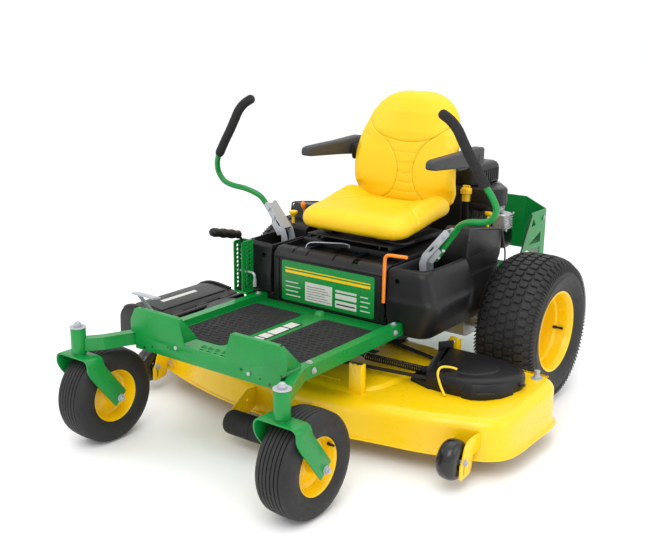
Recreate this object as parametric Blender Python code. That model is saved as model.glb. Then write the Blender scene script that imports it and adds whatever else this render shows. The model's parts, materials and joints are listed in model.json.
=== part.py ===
"""Zero turn mower, built as separate solids around a welded main frame.

Machine coordinates: X to the machine's left, the front towards -Y, Z up, the drive axle at Y = 0 and the
ground at Z = 0. Everything hangs on one empty that carries the machine origin to the middle of its box.
"""

import math

import bmesh
import bpy
from mathutils import Matrix, Vector

# Driving dimensions, metres.
BOX_CENTRE = (-0.047, -0.3545)         # middle of the machine's box, in machine X and Y
GAP = 0.0004                            # clearance between touching solids

CASTER_X = 0.432
KINGPIN_Y = -1.345
CASTER_TRAIL = 0.099
CASTER_RADIUS = 0.165
CASTER_TYRE_HALF = 0.0637
CASTER_RIM_RADIUS = 0.090
CASTER_Y = KINGPIN_Y + CASTER_TRAIL
CASTER_STEPS = 24                       # facets round a caster wheel, the same in rim and tyre
DRIVE_STEPS = 28                        # facets round a drive wheel

DRIVE_X = 0.557
DRIVE_RADIUS = 0.281
DRIVE_TYRE_HALF = 0.116
DRIVE_RIM_RADIUS = 0.146

RAIL_X = 0.307
RAIL_HALF = 0.017
RAIL_LOW = 0.345
RAIL_TOP = 0.388
RAIL_REAR = 0.56
FLOOR_LOW = 0.360
FLOOR_TOP = 0.368
GUARD_Y = -1.200

PANEL_Y = -0.560
PANEL_HALF = 0.250
CONSOLE_IN = 0.262
CONSOLE_STEP = 0.330                    # the inner wall stands outside the frame rail below the floor
CONSOLE_BY_TYRE = 0.430
CONSOLE_LOW = 0.341
CONSOLE_BAND = 0.471
CONSOLE_TOP = 0.577
TRAY_FLOOR = 0.505

LEVER_PIVOT = (0.319, -0.392, 0.530)
SEAT_HINGE = (0.0, -0.425, 0.606)
ARMREST_PIVOT = (0.279, 0.0, 0.900)

DECK_X = 0.040                          # the deck sits a little to the machine's left
DECK_LOW = 0.070
DECK_TOP = 0.192                        # at the front edge; the top plate climbs towards the rear
DECK_SLOPE = 0.06
DECK_FRONT = -0.850
DECK_SKIN = 0.005
SPINDLE_STEP = 0.500
SPINDLE_Y = -0.540
SPINDLE_CENTRE_Y = -0.620
BLADE_RADIUS = 0.245
BLADE_LOW = 0.086
PULLEY_RADIUS = 0.062
BELT_Z = 0.2385
BELT_HALF_HEIGHT = 0.005
BELT_HALF_WIDTH = 0.0065
IDLER = (0.125, -0.330)
IDLER_RADIUS = 0.036

CRANK_Y = 0.330
CLUTCH_RADIUS = 0.056

GAUGE_X = {1: 0.700, -1: 0.640}         # distance of the left and right gauge wheels from the middle
GAUGE_Y = -0.846
GAUGE_Z = 0.100
GAUGE_RADIUS = 0.065
GAUGE_REACH = {1: (0.108, 0.0795), -1: (0.081, 0.118)}   # how far back each bracket's two cheeks run
ROLLER_Y = -1.030
ROLLER_Z = 0.086
ROLLER_RADIUS = 0.044
CHUTE_HINGE = (-0.672, 0.0, 0.252)

SECTOR_X = 0.365
HEIGHT_LEVER_PIVOT = (-SECTOR_X, -0.606, 0.418)
HEIGHT_PIN = (-SECTOR_X, -0.586, 0.470)
SWITCH_KNOB = (-0.347, -0.320, 0.6155)
THROTTLE_PIVOT = (-0.322, -0.273, 0.6310)
PEDAL_PIVOT = (-0.352, -1.060, 0.372)
WRENCH = (0.256, -0.5745)

MATERIALS = {}


def clear_scene():
    for item in list(bpy.data.objects):
        bpy.data.objects.remove(item)


def add_material(name, colour, roughness, metallic=0.0):
    made = bpy.data.materials.new(name)
    made.use_nodes = True
    shader = made.node_tree.nodes["Principled BSDF"]
    shader.inputs["Base Color"].default_value = (*colour, 1.0)
    shader.inputs["Roughness"].default_value = roughness
    shader.inputs["Metallic"].default_value = metallic
    MATERIALS[name] = made


def add_materials():
    add_material("green_paint", (0.012, 0.28, 0.055), 0.35)
    add_material("yellow_paint", (0.95, 0.72, 0.0), 0.30)
    add_material("black_plastic", (0.022, 0.022, 0.024), 0.55)
    add_material("black_steel", (0.015, 0.015, 0.016), 0.45)
    add_material("rubber", (0.018, 0.018, 0.019), 0.80)
    add_material("zinc_steel", (0.62, 0.63, 0.65), 0.35, 1.0)
    add_material("cast_alloy", (0.55, 0.56, 0.57), 0.50, 1.0)
    add_material("yellow_vinyl", (0.98, 0.78, 0.01), 0.50)
    add_material("yellow_plastic", (0.95, 0.66, 0.0), 0.45)
    add_material("orange_plastic", (0.95, 0.27, 0.01), 0.45)


# Solids -----------------------------------------------------------------------------------------------

def from_bmesh(shape):
    bmesh.ops.recalc_face_normals(shape, faces=shape.faces)
    if shape.calc_volume(signed=True) < 0:
        bmesh.ops.reverse_faces(shape, faces=shape.faces)
    mesh = bpy.data.meshes.new("solid")
    shape.to_mesh(mesh)
    shape.free()
    solid = bpy.data.objects.new("solid", mesh)
    bpy.context.scene.collection.objects.link(solid)
    return solid


def loft(loops, closed=False):
    """A closed skin over rings of points with equal counts, capped at both ends unless it closes on itself."""
    shape = bmesh.new()
    rings = [[shape.verts.new(point) for point in loop] for loop in loops]
    count = len(rings[0])
    pairs = list(zip(rings, rings[1:]))
    if closed:
        pairs.append((rings[-1], rings[0]))
    for low, high in pairs:
        for i in range(count):
            j = (i + 1) % count
            shape.faces.new((low[i], low[j], high[j], high[i]))
    if not closed:
        shape.faces.new(rings[0])
        shape.faces.new(rings[-1])
    return from_bmesh(shape)


def place(axis, along, first, second):
    """The point at `along` on the axis, with the two other coordinates in X, Y, Z order."""
    if axis == "x":
        return Vector((along, first, second))
    if axis == "y":
        return Vector((first, along, second))
    return Vector((first, second, along))


def prism(outline, axis, low, high):
    return loft([[place(axis, along, *point) for point in outline] for along in (low, high)])


def box(x0, x1, y0, y1, z0, z1):
    return prism([(x0, y0), (x1, y0), (x1, y1), (x0, y1)], "z", z0, z1)


def circle(centre, radius, sides, start=0.0):
    return [(centre[0] + radius * math.cos(start + math.tau * i / sides),
             centre[1] + radius * math.sin(start + math.tau * i / sides)) for i in range(sides)]


def rod(axis, centre, radius, low, high, sides=16):
    return prism(circle(centre, radius, sides, math.pi / 2), axis, low, high)


def ring(profile, axis, centre, steps):
    """A turned ring. The profile is a closed outline of (radius, distance along the axis)."""
    loops = []
    for i in range(steps):
        turn = math.pi / 2 + math.tau * i / steps
        loops.append([place(axis, along, centre[0] + radius * math.cos(turn), centre[1] + radius * math.sin(turn))
                      for radius, along in profile])
    return loft(loops, closed=True)


def turned(profile, axis, centre, steps):
    """A turned solid. The profile runs from one end of the axis to the other as (radius, distance along)."""
    return loft([[place(axis, along, *point) for point in circle(centre, radius, steps, math.pi / 2)]
                 for radius, along in profile])


def band(path, half_width):
    """The outline of a strip of constant width along a flat path."""
    left, right = [], []
    for i, point in enumerate(path):
        here = Vector(point)
        steps = [(Vector(b) - Vector(a)).normalized() for a, b in zip(path, path[1:])][max(i - 1, 0):i + 1]
        along = (steps[0] + steps[-1]).normalized()
        bend = steps[0].dot(along)
        side = Vector((-along.y, along.x)) * half_width / bend
        left.append(tuple(here + side))
        right.append(tuple(here - side))
    return left + right[::-1]


def smooth(points, steps=4):
    """More points on a smooth curve through the given ones."""
    points = [Vector(point) for point in points]
    padded = [2 * points[0] - points[1]] + points + [2 * points[-1] - points[-2]]
    made = []
    for a, b, c, d in zip(padded, padded[1:], padded[2:], padded[3:]):
        for step in range(steps):
            t = step / steps
            made.append(0.5 * (2 * b + (c - a) * t + (2 * a - 5 * b + 4 * c - d) * t * t
                               + (3 * b - a - 3 * c + d) * t ** 3))
    return made + [points[-1]]


def tube(points, radius, sides=10, closed=False):
    """A round bar along a path; `radius` may be one value or one for each point."""
    points = [Vector(point) for point in points]
    radii = radius if isinstance(radius, list) else [radius] * len(points)
    last = len(points) - 1
    normal = None
    loops = []
    for i, point in enumerate(points):
        before = points[(i - 1) % len(points)] if closed else points[max(i - 1, 0)]
        after = points[(i + 1) % len(points)] if closed else points[min(i + 1, last)]
        along = (after - before).normalized()
        if normal is None:
            normal = along.cross(Vector((0, 0, 1)) if abs(along.z) < 0.8 else Vector((1, 0, 0)))
        normal = (normal - along * normal.dot(along)).normalized()
        other = along.cross(normal)
        loops.append([point + radii[i] * (normal * math.cos(math.tau * k / sides)
                                          + other * math.sin(math.tau * k / sides)) for k in range(sides)])
    return loft(loops, closed)


def rounded(x0, x1, y0, y1, radius, steps=3):
    """A rectangle's outline with round corners."""
    outline = []
    corners = ((x1, y1, 0), (x0, y1, 1), (x0, y0, 2), (x1, y0, 3))
    for x, y, quarter in corners:
        cx = x - math.copysign(radius, x - (x0 + x1) / 2)
        cy = y - math.copysign(radius, y - (y0 + y1) / 2)
        for i in range(steps + 1):
            turn = math.pi / 2 * (quarter + i / steps)
            outline.append((cx + radius * math.cos(turn), cy + radius * math.sin(turn)))
    return outline


def inset(outline, distance):
    """The outline moved inwards by a distance."""
    area = sum(a[0] * b[1] - b[0] * a[1] for a, b in zip(outline, outline[1:] + outline[:1]))
    turn = 1.0 if area > 0 else -1.0
    made = []
    for i, point in enumerate(outline):
        here = Vector(point)
        first = (here - Vector(outline[i - 1])).normalized()
        second = (Vector(outline[(i + 1) % len(outline)]) - here).normalized()
        normal = Vector((-(first.y + second.y), first.x + second.x)).normalized() * turn
        spread = max(normal.dot(Vector((-first.y, first.x)) * turn), 0.4)
        made.append(tuple(here + normal * distance / spread))
    return made


def boolean(base, tool, operation):
    """Base joined with or cut by the tool, which is used up."""
    modifier = base.modifiers.new(operation.lower(), "BOOLEAN")
    modifier.object = tool
    modifier.operation = operation
    modifier.solver = "EXACT"
    graph = bpy.context.evaluated_depsgraph_get()
    mesh = bpy.data.meshes.new_from_object(base.evaluated_get(graph))
    base.modifiers.clear()
    base.data = mesh
    bpy.data.objects.remove(tool)
    return base


def fuse(base, *tools):
    for tool in tools:
        base = boolean(base, tool, "UNION")
    return base


def cut(base, *tools):
    for tool in tools:
        base = boolean(base, tool, "DIFFERENCE")
    return base


def soften(solid, width, angle=40):
    """A small bevel on the sharp edges."""
    modifier = solid.modifiers.new("bevel", "BEVEL")
    modifier.width = width
    modifier.segments = 1
    modifier.limit_method = "ANGLE"
    modifier.angle_limit = math.radians(angle)
    return solid


def name_part(solid, name, material, origin=(0.0, 0.0, 0.0)):
    """Gives a solid its name, its material and its origin, and hangs it on the machine."""
    solid.name = name
    solid.data.name = name
    solid.data.materials.clear()
    solid.data.materials.append(MATERIALS[material])
    solid.data.transform(Matrix.Translation(-Vector(origin)))
    solid.data.shade_smooth()
    solid.data.set_sharp_from_angle(angle=math.radians(35))
    solid.location = origin
    solid.parent = bpy.data.objects["machine"]
    return solid


def side_name(base, side):
    return base + ("_left" if side > 0 else "_right")


# Chassis ----------------------------------------------------------------------------------------------

def mirror_x(points, side):
    return [(side * point[0], *point[1:]) for point in points]


def make_main_frame():
    path = [(0.4203, -1.3292), (0.385, -1.282), (0.357, -1.215), (0.330, -1.160), (RAIL_X, -1.105), (RAIL_X, RAIL_REAR)]
    frame = box(-0.335, 0.335, -1.188, -1.156, 0.346, FLOOR_LOW - GAP)
    pieces = []
    for side in (1, -1):
        pieces.append(prism(band(mirror_x(path, side), RAIL_HALF), "z", RAIL_LOW, RAIL_TOP))
        kingpin_tube = [(0.0245, 0.337), (0.0245, 0.424), (0.0130, 0.424), (0.0130, 0.337)]
        socket = ring(kingpin_tube, "z", (side * CASTER_X, KINGPIN_Y), 20)
        pieces.append(socket)
    for low, high in ((-0.640, -0.606), (0.100, 0.140), (0.515, 0.555)):
        pieces.append(box(-0.300, 0.300, low, high, 0.347, 0.359))
    pieces.append(box(-0.2995, 0.2995, 0.110, 0.545, 0.3590, 0.3660))
    frame = fuse(frame, *pieces)
    cut(frame, rod("z", (0.0, CRANK_Y), 0.062, 0.30, 0.42, 24))
    name_part(frame, "main_frame", "green_paint")


def make_guard_plate():
    half = [(0.088, 0.396), (0.117, 0.482), (0.310, 0.482), (0.333, 0.437), (0.333, 0.397)]
    low = [(0.312, 0.392), (0.312, 0.341)]
    outline = half + low + mirror_x((half + low)[::-1], -1)
    plate = prism(outline, "y", GUARD_Y - 0.006, GUARD_Y)
    for side in (1, -1):
        for x, reach in ((0.113, 0.080), (0.309, 0.095)):
            gusset = [(GUARD_Y - 0.003, 0.478), (GUARD_Y - 0.003, 0.392), (GUARD_Y + reach, 0.392)]
            plate = fuse(plate, prism(gusset, "x", side * x - 0.002, side * x + 0.002))
        cut(plate, rod("y", (side * 0.157, 0.3735), 0.006, GUARD_Y - 0.02, GUARD_Y + 0.02, 12))
    name_part(plate, "guard_plate", "green_paint")


def make_floor():
    inner = RAIL_X - RAIL_HALF - 0.0006
    front = GUARD_Y + 0.0006
    pan = box(-inner, inner, front, PANEL_Y - 0.0010, FLOOR_LOW, FLOOR_TOP)
    for side in (1, -1):
        low, high = sorted((side * 0.046, side * 0.272))
        mat_outline = rounded(low, high, -1.072, -0.640, 0.022)
        cut(pan, prism(mat_outline, "z", FLOOR_TOP - 0.005, FLOOR_TOP + 0.01))
        mat = prism(inset(mat_outline, 0.0008), "z", FLOOR_TOP - 0.005 + GAP, FLOOR_TOP - 0.0006)
        name_part(mat, side_name("foot_mat", side), "rubber")
    name_part(pan, "floor_pan", "green_paint")


def make_front_panel():
    path = [(PANEL_Y + 0.002, 0.3695), (PANEL_Y + 0.002, 0.548), (-0.536, 0.572), (-0.300, 0.584), (-0.090, 0.588)]
    panel = prism(band(path, 0.002), "x", -PANEL_HALF, PANEL_HALF)
    for side in (1, -1):
        cheek = [(PANEL_Y + 0.002, 0.392), (-0.09, 0.392), (-0.09, 0.587), (-0.30, 0.583), (-0.536, 0.571),
                 (PANEL_Y + 0.002, 0.547)]
        edge = side * (PANEL_HALF - 0.002)
        panel = fuse(panel, prism(cheek, "x", edge - 0.002, edge + 0.002))
    cut(panel, rod("y", (WRENCH[0] - 0.012, 0.40), 0.003, PANEL_Y - 0.02, PANEL_Y + 0.02, 8))
    name_part(panel, "front_panel", "black_plastic")


def console_outline(side, outer, front, rear, inner, thin):
    """A console's plan at one height: square beside the seat, with a round front corner outside."""
    corner = 0.045
    points = [(inner, rear), (inner, front)]
    for i in range(5):
        turn = math.pi / 2 * i / 4
        points.append((outer - corner + corner * math.sin(turn), front + corner - corner * math.cos(turn)))
    beside_tyre = min(outer, CONSOLE_BY_TYRE - thin)
    points += [(outer, -0.310), (beside_tyre, -0.245), (beside_tyre - 0.004, rear - 0.030), (beside_tyre - 0.020, rear)]
    return mirror_x(points, side)


def raise_to(outline, height):
    return [(x, y, height) for x, y in outline]


def make_console(side):
    """An open moulded tray on legs of its own walls, with a tall rear hump beside the seat."""
    skin = 0.004
    step = CONSOLE_STEP - CONSOLE_IN
    sections = (
        (0.424, -0.553, -0.070, skin, TRAY_FLOOR - 0.005), (0.446, -0.561, -0.076, skin, CONSOLE_BAND),
        (0.432, -0.557, -0.116, skin, 0.406), (0.431, -0.556, -0.120, skin + step, 0.402),
        (0.414, -0.551, -0.156, skin + step, CONSOLE_LOW), (0.420, -0.556, -0.150, step, CONSOLE_LOW),
        (0.438, -0.561, -0.108, step, 0.394), (0.439, -0.561, -0.104, 0.0, 0.398),
        (0.456, -0.566, -0.056, 0.0, CONSOLE_BAND - 0.012), (0.440, -0.562, -0.035, 0.0, CONSOLE_BAND + 0.018),
        (0.414, -0.556, 0.018, 0.0, CONSOLE_TOP), (0.400, -0.542, 0.004, 0.014, CONSOLE_TOP - 0.002),
        (0.392, -0.534, -0.080, 0.022, TRAY_FLOOR),
    )
    inside = 5                          # how many of the sections line the cavity below the tray
    shell = loft([raise_to(console_outline(side, outer, front, rear, CONSOLE_IN + inner, skin if i < inside else 0.0),
                           height) for i, (outer, front, rear, inner, height) in enumerate(sections)])
    profile = [(-0.262, 0.530), (-0.255, 0.664), (-0.238, 0.678), (-0.006, 0.640), (0.006, 0.622), (0.008, 0.590),
               (-0.020, 0.530)]
    cut(shell, box(*sorted((side * 0.4070, side * 0.480)), -0.275, 0.060, 0.514, 0.600))
    hump = prism(profile, "x", *sorted((side * 0.302, side * 0.4065)))
    shell = fuse(shell, hump)
    if side < 0:
        pod = prism([(-0.346, 0.500), (-0.344, 0.604), (-0.334, 0.611), (-0.250, 0.624), (-0.250, 0.500)],
                    "x", -0.388, -CONSOLE_IN - 0.001)
        shell = fuse(shell, pod)
    cut(shell, rod("y", (side * 0.300, 0.536), 0.007, -0.60, -0.53, 12))
    name_part(shell, side_name("side_console", side), "black_plastic")


def make_height_sector():
    """Two upright plates full of height holes on a foot that bolts to the frame rail."""
    sector = box(-SECTOR_X - 0.0220, -RAIL_X - RAIL_HALF - GAP, -0.632, -0.572, 0.3905, 0.3965)
    for x in (-SECTOR_X - 0.0200, -SECTOR_X + 0.0200):
        plate = prism(rounded(-0.634, -0.570, 0.3905, 0.592, 0.008, 2), "x", x - 0.002, x + 0.002)
        sector = fuse(sector, plate)
    sector = fuse(sector, box(-RAIL_X - RAIL_HALF - 0.004, -RAIL_X - RAIL_HALF - GAP, -0.632, -0.572, 0.352, 0.3965))
    cut(sector, rod("x", HEIGHT_PIN[1:], 0.0062, -0.45, -0.332, 12))
    for height in (0.435, 0.505, 0.540):
        cut(sector, rod("x", (HEIGHT_PIN[1], height), 0.0062, -0.45, -0.332, 8))
    name_part(sector, "height_sector", "green_paint")
    lever_path = [(-SECTOR_X, -0.606, 0.405), (-SECTOR_X, -0.6065, 0.500), (-SECTOR_X, -0.609, 0.585),
                  (-SECTOR_X, -0.622, 0.612), (-SECTOR_X, -0.640, 0.622)]
    lever = tube(lever_path, 0.0055, 8)
    grip_path = [(-SECTOR_X, -0.628 - 0.030 * i, 0.618 + 0.0068 * i) for i in range(6)]
    lever = fuse(lever, tube(grip_path, [0.0140, 0.0170, 0.0150, 0.0165, 0.0150, 0.0100], 10))
    lever = fuse(lever, rod("x", HEIGHT_LEVER_PIVOT[1:], 0.012, -SECTOR_X - 0.0155, -SECTOR_X + 0.0155, 12))
    name_part(lever, "height_lever", "black_plastic", HEIGHT_LEVER_PIVOT)
    x, y, z = HEIGHT_PIN
    pin = tube([(x - 0.030, y, z), (x + 0.040, y, z), (x + 0.050, y, z - 0.006), (x + 0.054, y, z - 0.018),
                (x + 0.054, y, z - 0.052)], 0.0050, 8)
    name_part(pin, "height_pin", "zinc_steel", HEIGHT_PIN)


def make_lift_pedal():
    pivot = Vector(PEDAL_PIVOT)
    pedal = rod("x", pivot[1:], 0.011, pivot.x - 0.022, pivot.x + 0.022, 12)
    arm = tube([pivot, pivot + Vector((0.0, -0.030, 0.060)), pivot + Vector((0.0, -0.086, 0.131))], 0.0065, 8)
    pad = loft([[pivot + Vector((x, y + lift * 0.2, z + lift)) for x, y, z in
                 ((-0.008, -0.112, 0.142), (0.096, -0.112, 0.142), (0.096, -0.078, 0.136), (-0.008, -0.078, 0.136))]
                for lift in (-0.003, 0.003)])
    name_part(fuse(pedal, arm, pad), "lift_pedal", "zinc_steel", PEDAL_PIVOT)


def make_wrench():
    x, y = WRENCH
    bar = tube([(x, y, 0.455), (x + 0.002, y, 0.605), (x + 0.006, y, 0.620), (x + 0.018, y, 0.627),
                (x + 0.090, y, 0.631)], 0.0062, 8)
    name_part(bar, "levelling_wrench", "orange_plastic", (x, y, 0.455))


# Wheels -----------------------------------------------------------------------------------------------

def tyre_profile(radius, half, bead, x):
    """A tyre's section: flat tread, round shoulders, bulging walls and a straight bead."""
    side = [(bead, 0.82 * half), (bead + 0.10 * (radius - bead), 0.93 * half),
            (bead + 0.42 * (radius - bead), half), (bead + 0.76 * (radius - bead), 0.94 * half),
            (bead + 0.94 * (radius - bead), 0.72 * half), (radius, 0.40 * half)]
    return [(r, x + w) for r, w in side] + [(r, x - w) for r, w in side[::-1]]


def make_caster(side):
    x = side * CASTER_X
    kingpin = (x, KINGPIN_Y, 0.38)
    axle = (CASTER_Y, CASTER_RADIUS)
    fork = box(x - 0.080, x + 0.080, -1.378, -1.315, 0.327, 0.333)
    leg = [(-1.378, 0.333), (-1.368, 0.273), (-1.268, 0.140), (-1.221, 0.183), (-1.305, 0.303), (-1.315, 0.333)]
    for edge in (-0.077, 0.077):
        fork = fuse(fork, prism(leg, "x", x + edge - 0.003, x + edge + 0.003))
    fork = fuse(fork, rod("z", (x, KINGPIN_Y), 0.0120, 0.330, 0.4275, 16),
                rod("z", (x, KINGPIN_Y), 0.0235, 0.4246, 0.4290, 16), rod("z", (x, KINGPIN_Y), 0.0130, 0.4280, 0.4390, 6),
                rod("x", axle, 0.0095, x - 0.094, x + 0.094, 12), rod("x", axle, 0.0120, x - 0.0902, x - 0.0810, 6),
                rod("x", axle, 0.0120, x + 0.0810, x + 0.0902, 6))
    name_part(fork, side_name("caster_fork", side), "green_paint", kingpin)
    rim = [(0.090, -0.050), (0.090, 0.050), (0.0845, 0.050), (0.078, 0.028), (0.074, 0.006), (0.022, 0.006),
           (0.022, 0.072), (0.0102, 0.072), (0.0102, -0.072), (0.022, -0.072), (0.022, -0.006), (0.074, -0.006),
           (0.078, -0.028), (0.0845, -0.050)]
    rim = ring([(r, x + w) for r, w in rim], "x", axle, CASTER_STEPS)
    name_part(rim, side_name("caster_rim", side), "yellow_paint", (x, *axle))
    tyre = ring(tyre_profile(CASTER_RADIUS, CASTER_TYRE_HALF, CASTER_RIM_RADIUS + GAP, x), "x", axle, CASTER_STEPS)
    name_part(tyre, side_name("caster_tyre", side), "rubber", (x, *axle))


def make_drive_wheel(side):
    """The rim carries its axle shaft, which runs in the transaxle."""
    x = side * DRIVE_X
    axle = (0.0, DRIVE_RADIUS)
    r = DRIVE_RIM_RADIUS
    edge = DRIVE_TYRE_HALF * 0.80
    profile = [(0.0, -0.235), (0.0160, -0.235), (0.0160, -0.080), (0.040, -0.070), (0.060, -0.012), (r - 0.030, -0.008),
               (r - 0.020, -edge), (r, -edge), (r, edge), (r - 0.008, edge), (r - 0.014, 0.050), (r - 0.028, 0.020),
               (0.066, 0.002), (0.050, 0.004), (0.030, 0.022), (0.0, 0.022)]
    loops = []
    for radius, along in profile:
        loops.append([Vector((x + side * along, point[0], point[1]))
                      for point in circle(axle, max(radius, 0.0004), DRIVE_STEPS, math.pi / 2)])
    name_part(loft(loops), side_name("drive_rim", side), "yellow_paint", (x, *axle))
    tyre = ring(tyre_profile(DRIVE_RADIUS, DRIVE_TYRE_HALF, r + GAP, x), "x", axle, DRIVE_STEPS)
    name_part(tyre, side_name("drive_tyre", side), "rubber", (x, *axle))


# Controls ---------------------------------------------------------------------------------------------

def make_control_lever(side):
    """A base that turns fore and aft, a bent tube that folds outwards on it, and a foam grip."""
    px, py, pz = LEVER_PIVOT
    pivot = (side * px, py, pz)
    base = fuse(box(side * px - 0.012, side * px + 0.012, py - 0.0165, py + 0.0165, pz - 0.0185, pz + 0.010),
                rod("y", (side * px, pz), 0.0070, py - 0.0320, py + 0.0320, 12))
    name_part(base, side_name("lever_base", side), "zinc_steel", pivot)
    plates = []
    for offset in (-0.0235, 0.0235):
        outline = band([(side * px, pz), (side * (px + 0.022), pz + 0.060), (side * 0.416, 0.690)], 0.0140)
        plates.append(prism(outline, "y", py + offset - 0.002, py + offset + 0.002))
        cut(plates[-1], rod("y", (side * px, pz), 0.0076, py - 0.06, py + 0.06, 12))
    spacer = rod("y", (side * 0.402, 0.672), 0.0060, py - 0.0245, py + 0.0245, 8)
    path = smooth(mirror_x([(0.366, py, 0.610), (0.424, py - 0.004, 0.693), (0.502, -0.430, 0.746),
                            (0.585, -0.452, 0.764), (0.614, -0.462, 0.800), (0.600, -0.482, 0.850),
                            (0.586, -0.490, 0.881)], side), 3)
    stalk = fuse(tube(path, 0.0110, 10), spacer, *plates)
    name_part(stalk, side_name("control_lever", side), "green_paint", pivot)
    grip_path = smooth(mirror_x([(0.5838, -0.4905, 0.8862), (0.520, -0.494, 0.985), (0.478, -0.495, 1.055),
                                 (0.452, -0.494, 1.090), (0.410, -0.491, 1.116)], side), 2)
    grip = tube(grip_path, [0.0172] * (len(grip_path) - 1) + [0.0150], 10)
    name_part(grip, side_name("lever_grip", side), "rubber", pivot)


def make_dash_controls():
    knob = turned([(0.006, 0.0), (0.006, 0.022), (0.010, 0.026), (0.016, 0.038), (0.017, 0.044), (0.011, 0.048)],
                  "z", (0.0, 0.0), 12)
    knob.data.transform(Matrix.Translation(Vector(SWITCH_KNOB)))
    name_part(knob, "blade_switch_knob", "yellow_plastic", SWITCH_KNOB)
    x, y, z = THROTTLE_PIVOT
    lever = fuse(rod("x", (y, z), 0.0080, x - 0.008, x + 0.008, 12),
                 tube([(x, y, z), (x, y - 0.012, z + 0.044)], 0.0040, 8),
                 tube([(x, y - 0.010, z + 0.038), (x, y - 0.0145, z + 0.056), (x, y - 0.017, z + 0.066)],
                      [0.006, 0.010, 0.007], 8))
    name_part(lever, "throttle_lever", "orange_plastic", THROTTLE_PIVOT)


# Seat -------------------------------------------------------------------------------------------------

def bowed(half, front, rear, bow, corner, rear_corner):
    """A seat's plan: the middle of the front and rear edges stands off the sides by the two bows."""
    shares = (-0.60, -0.32, 0.0, 0.32, 0.60)
    outline = rounded(-half, half, front, rear, corner, 4)
    quarter = len(outline) // 4
    outline = rounded(-half, half, front, rear, rear_corner, 4)[:2 * quarter] + outline[2 * quarter:]
    outline = (outline[:quarter] + [(-half * share, rear) for share in shares] + outline[quarter:3 * quarter]
               + [(half * share, front) for share in shares] + outline[3 * quarter:])
    middle = (front + rear) / 2
    return [(x, y + (bow[0] if y < middle else bow[1]) * (1.0 - (x / half) ** 2)) for x, y in outline]


def make_seat():
    pan = box(-0.190, 0.190, -0.430, -0.060, 0.610, 0.616)
    for side in (1, -1):
        low, high = sorted((side * 0.110, side * 0.150))
        pan = fuse(pan, box(low, high, -0.380, -0.080, 0.615, 0.6316),
                   prism([(-0.432, 0.6155), (-0.432, 0.598), (-0.418, 0.598), (-0.412, 0.6155)],
                         "x", side * 0.140 - 0.003, side * 0.140 + 0.003))
    name_part(pan, "seat_base", "black_steel", SEAT_HINGE)
    sections = ((0.205, -0.405, -0.105, 0.0), (0.244, -0.446, -0.080, 0.22), (0.250, -0.454, -0.074, 0.50),
                (0.244, -0.446, -0.079, 0.80), (0.200, -0.400, -0.112, 1.0))
    loops = []
    for half, front, rear, level in sections:
        loop = []
        for x, y in bowed(half, front, rear, (0.0, 0.012), 0.070, 0.036):
            back_share = min(max((y + 0.42) / 0.30, 0.0), 1.0)
            low = 0.632 + 0.046 * back_share
            high = 0.716 + 0.046 * back_share
            loop.append((x, y, low + (high - low) * level))
        loops.append(loop)
    name_part(loft(loops), "seat_cushion", "yellow_vinyl")
    sections = ((0.686, 0.190, -0.052, -0.026, 0.010, 0.008), (0.716, 0.226, -0.062, -0.024, 0.014, 0.012),
                (0.750, 0.234, -0.066, -0.026, 0.016, 0.014), (0.775, 0.239, -0.086, -0.030, 0.026, 0.034),
                (0.840, 0.241, -0.090, -0.034, 0.026, 0.040), (0.935, 0.236, -0.062, -0.006, 0.026, 0.014),
                (1.020, 0.214, -0.020, 0.036, 0.026, -0.022), (1.080, 0.174, 0.006, 0.062, 0.026, -0.034),
                (1.118, 0.124, 0.020, 0.070, 0.022, -0.026), (1.134, 0.072, 0.034, 0.066, 0.014, -0.012))
    back = [raise_to(bowed(half, front, rear, (hollow, 0.030), corner, corner), height)
            for height, half, front, rear, corner, hollow in sections]
    name_part(loft(back), "seat_back", "yellow_vinyl")
    for side in (1, -1):
        px, py, pz = ARMREST_PIVOT
        arm = loft([[Vector((side * (px + dx), along, dz)) for dx, dz in
                     ((-half, low), (half, low), (half, high), (-half, high))]
                    for along, half, low, high in ((-0.335, 0.016, 0.891, 0.917), (-0.312, 0.022, 0.886, 0.925),
                                                   (-0.120, 0.024, 0.874, 0.930), (0.010, 0.024, 0.862, 0.938),
                                                   (0.036, 0.024, 0.866, 0.938))])
        hinge = rod("x", (py, pz), 0.013, *sorted((side * 0.2445, side * 0.280)), 12)
        name_part(fuse(arm, hinge), side_name("armrest", side), "black_plastic", (side * px, py, pz))


# Engine and drive -------------------------------------------------------------------------------------

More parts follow.
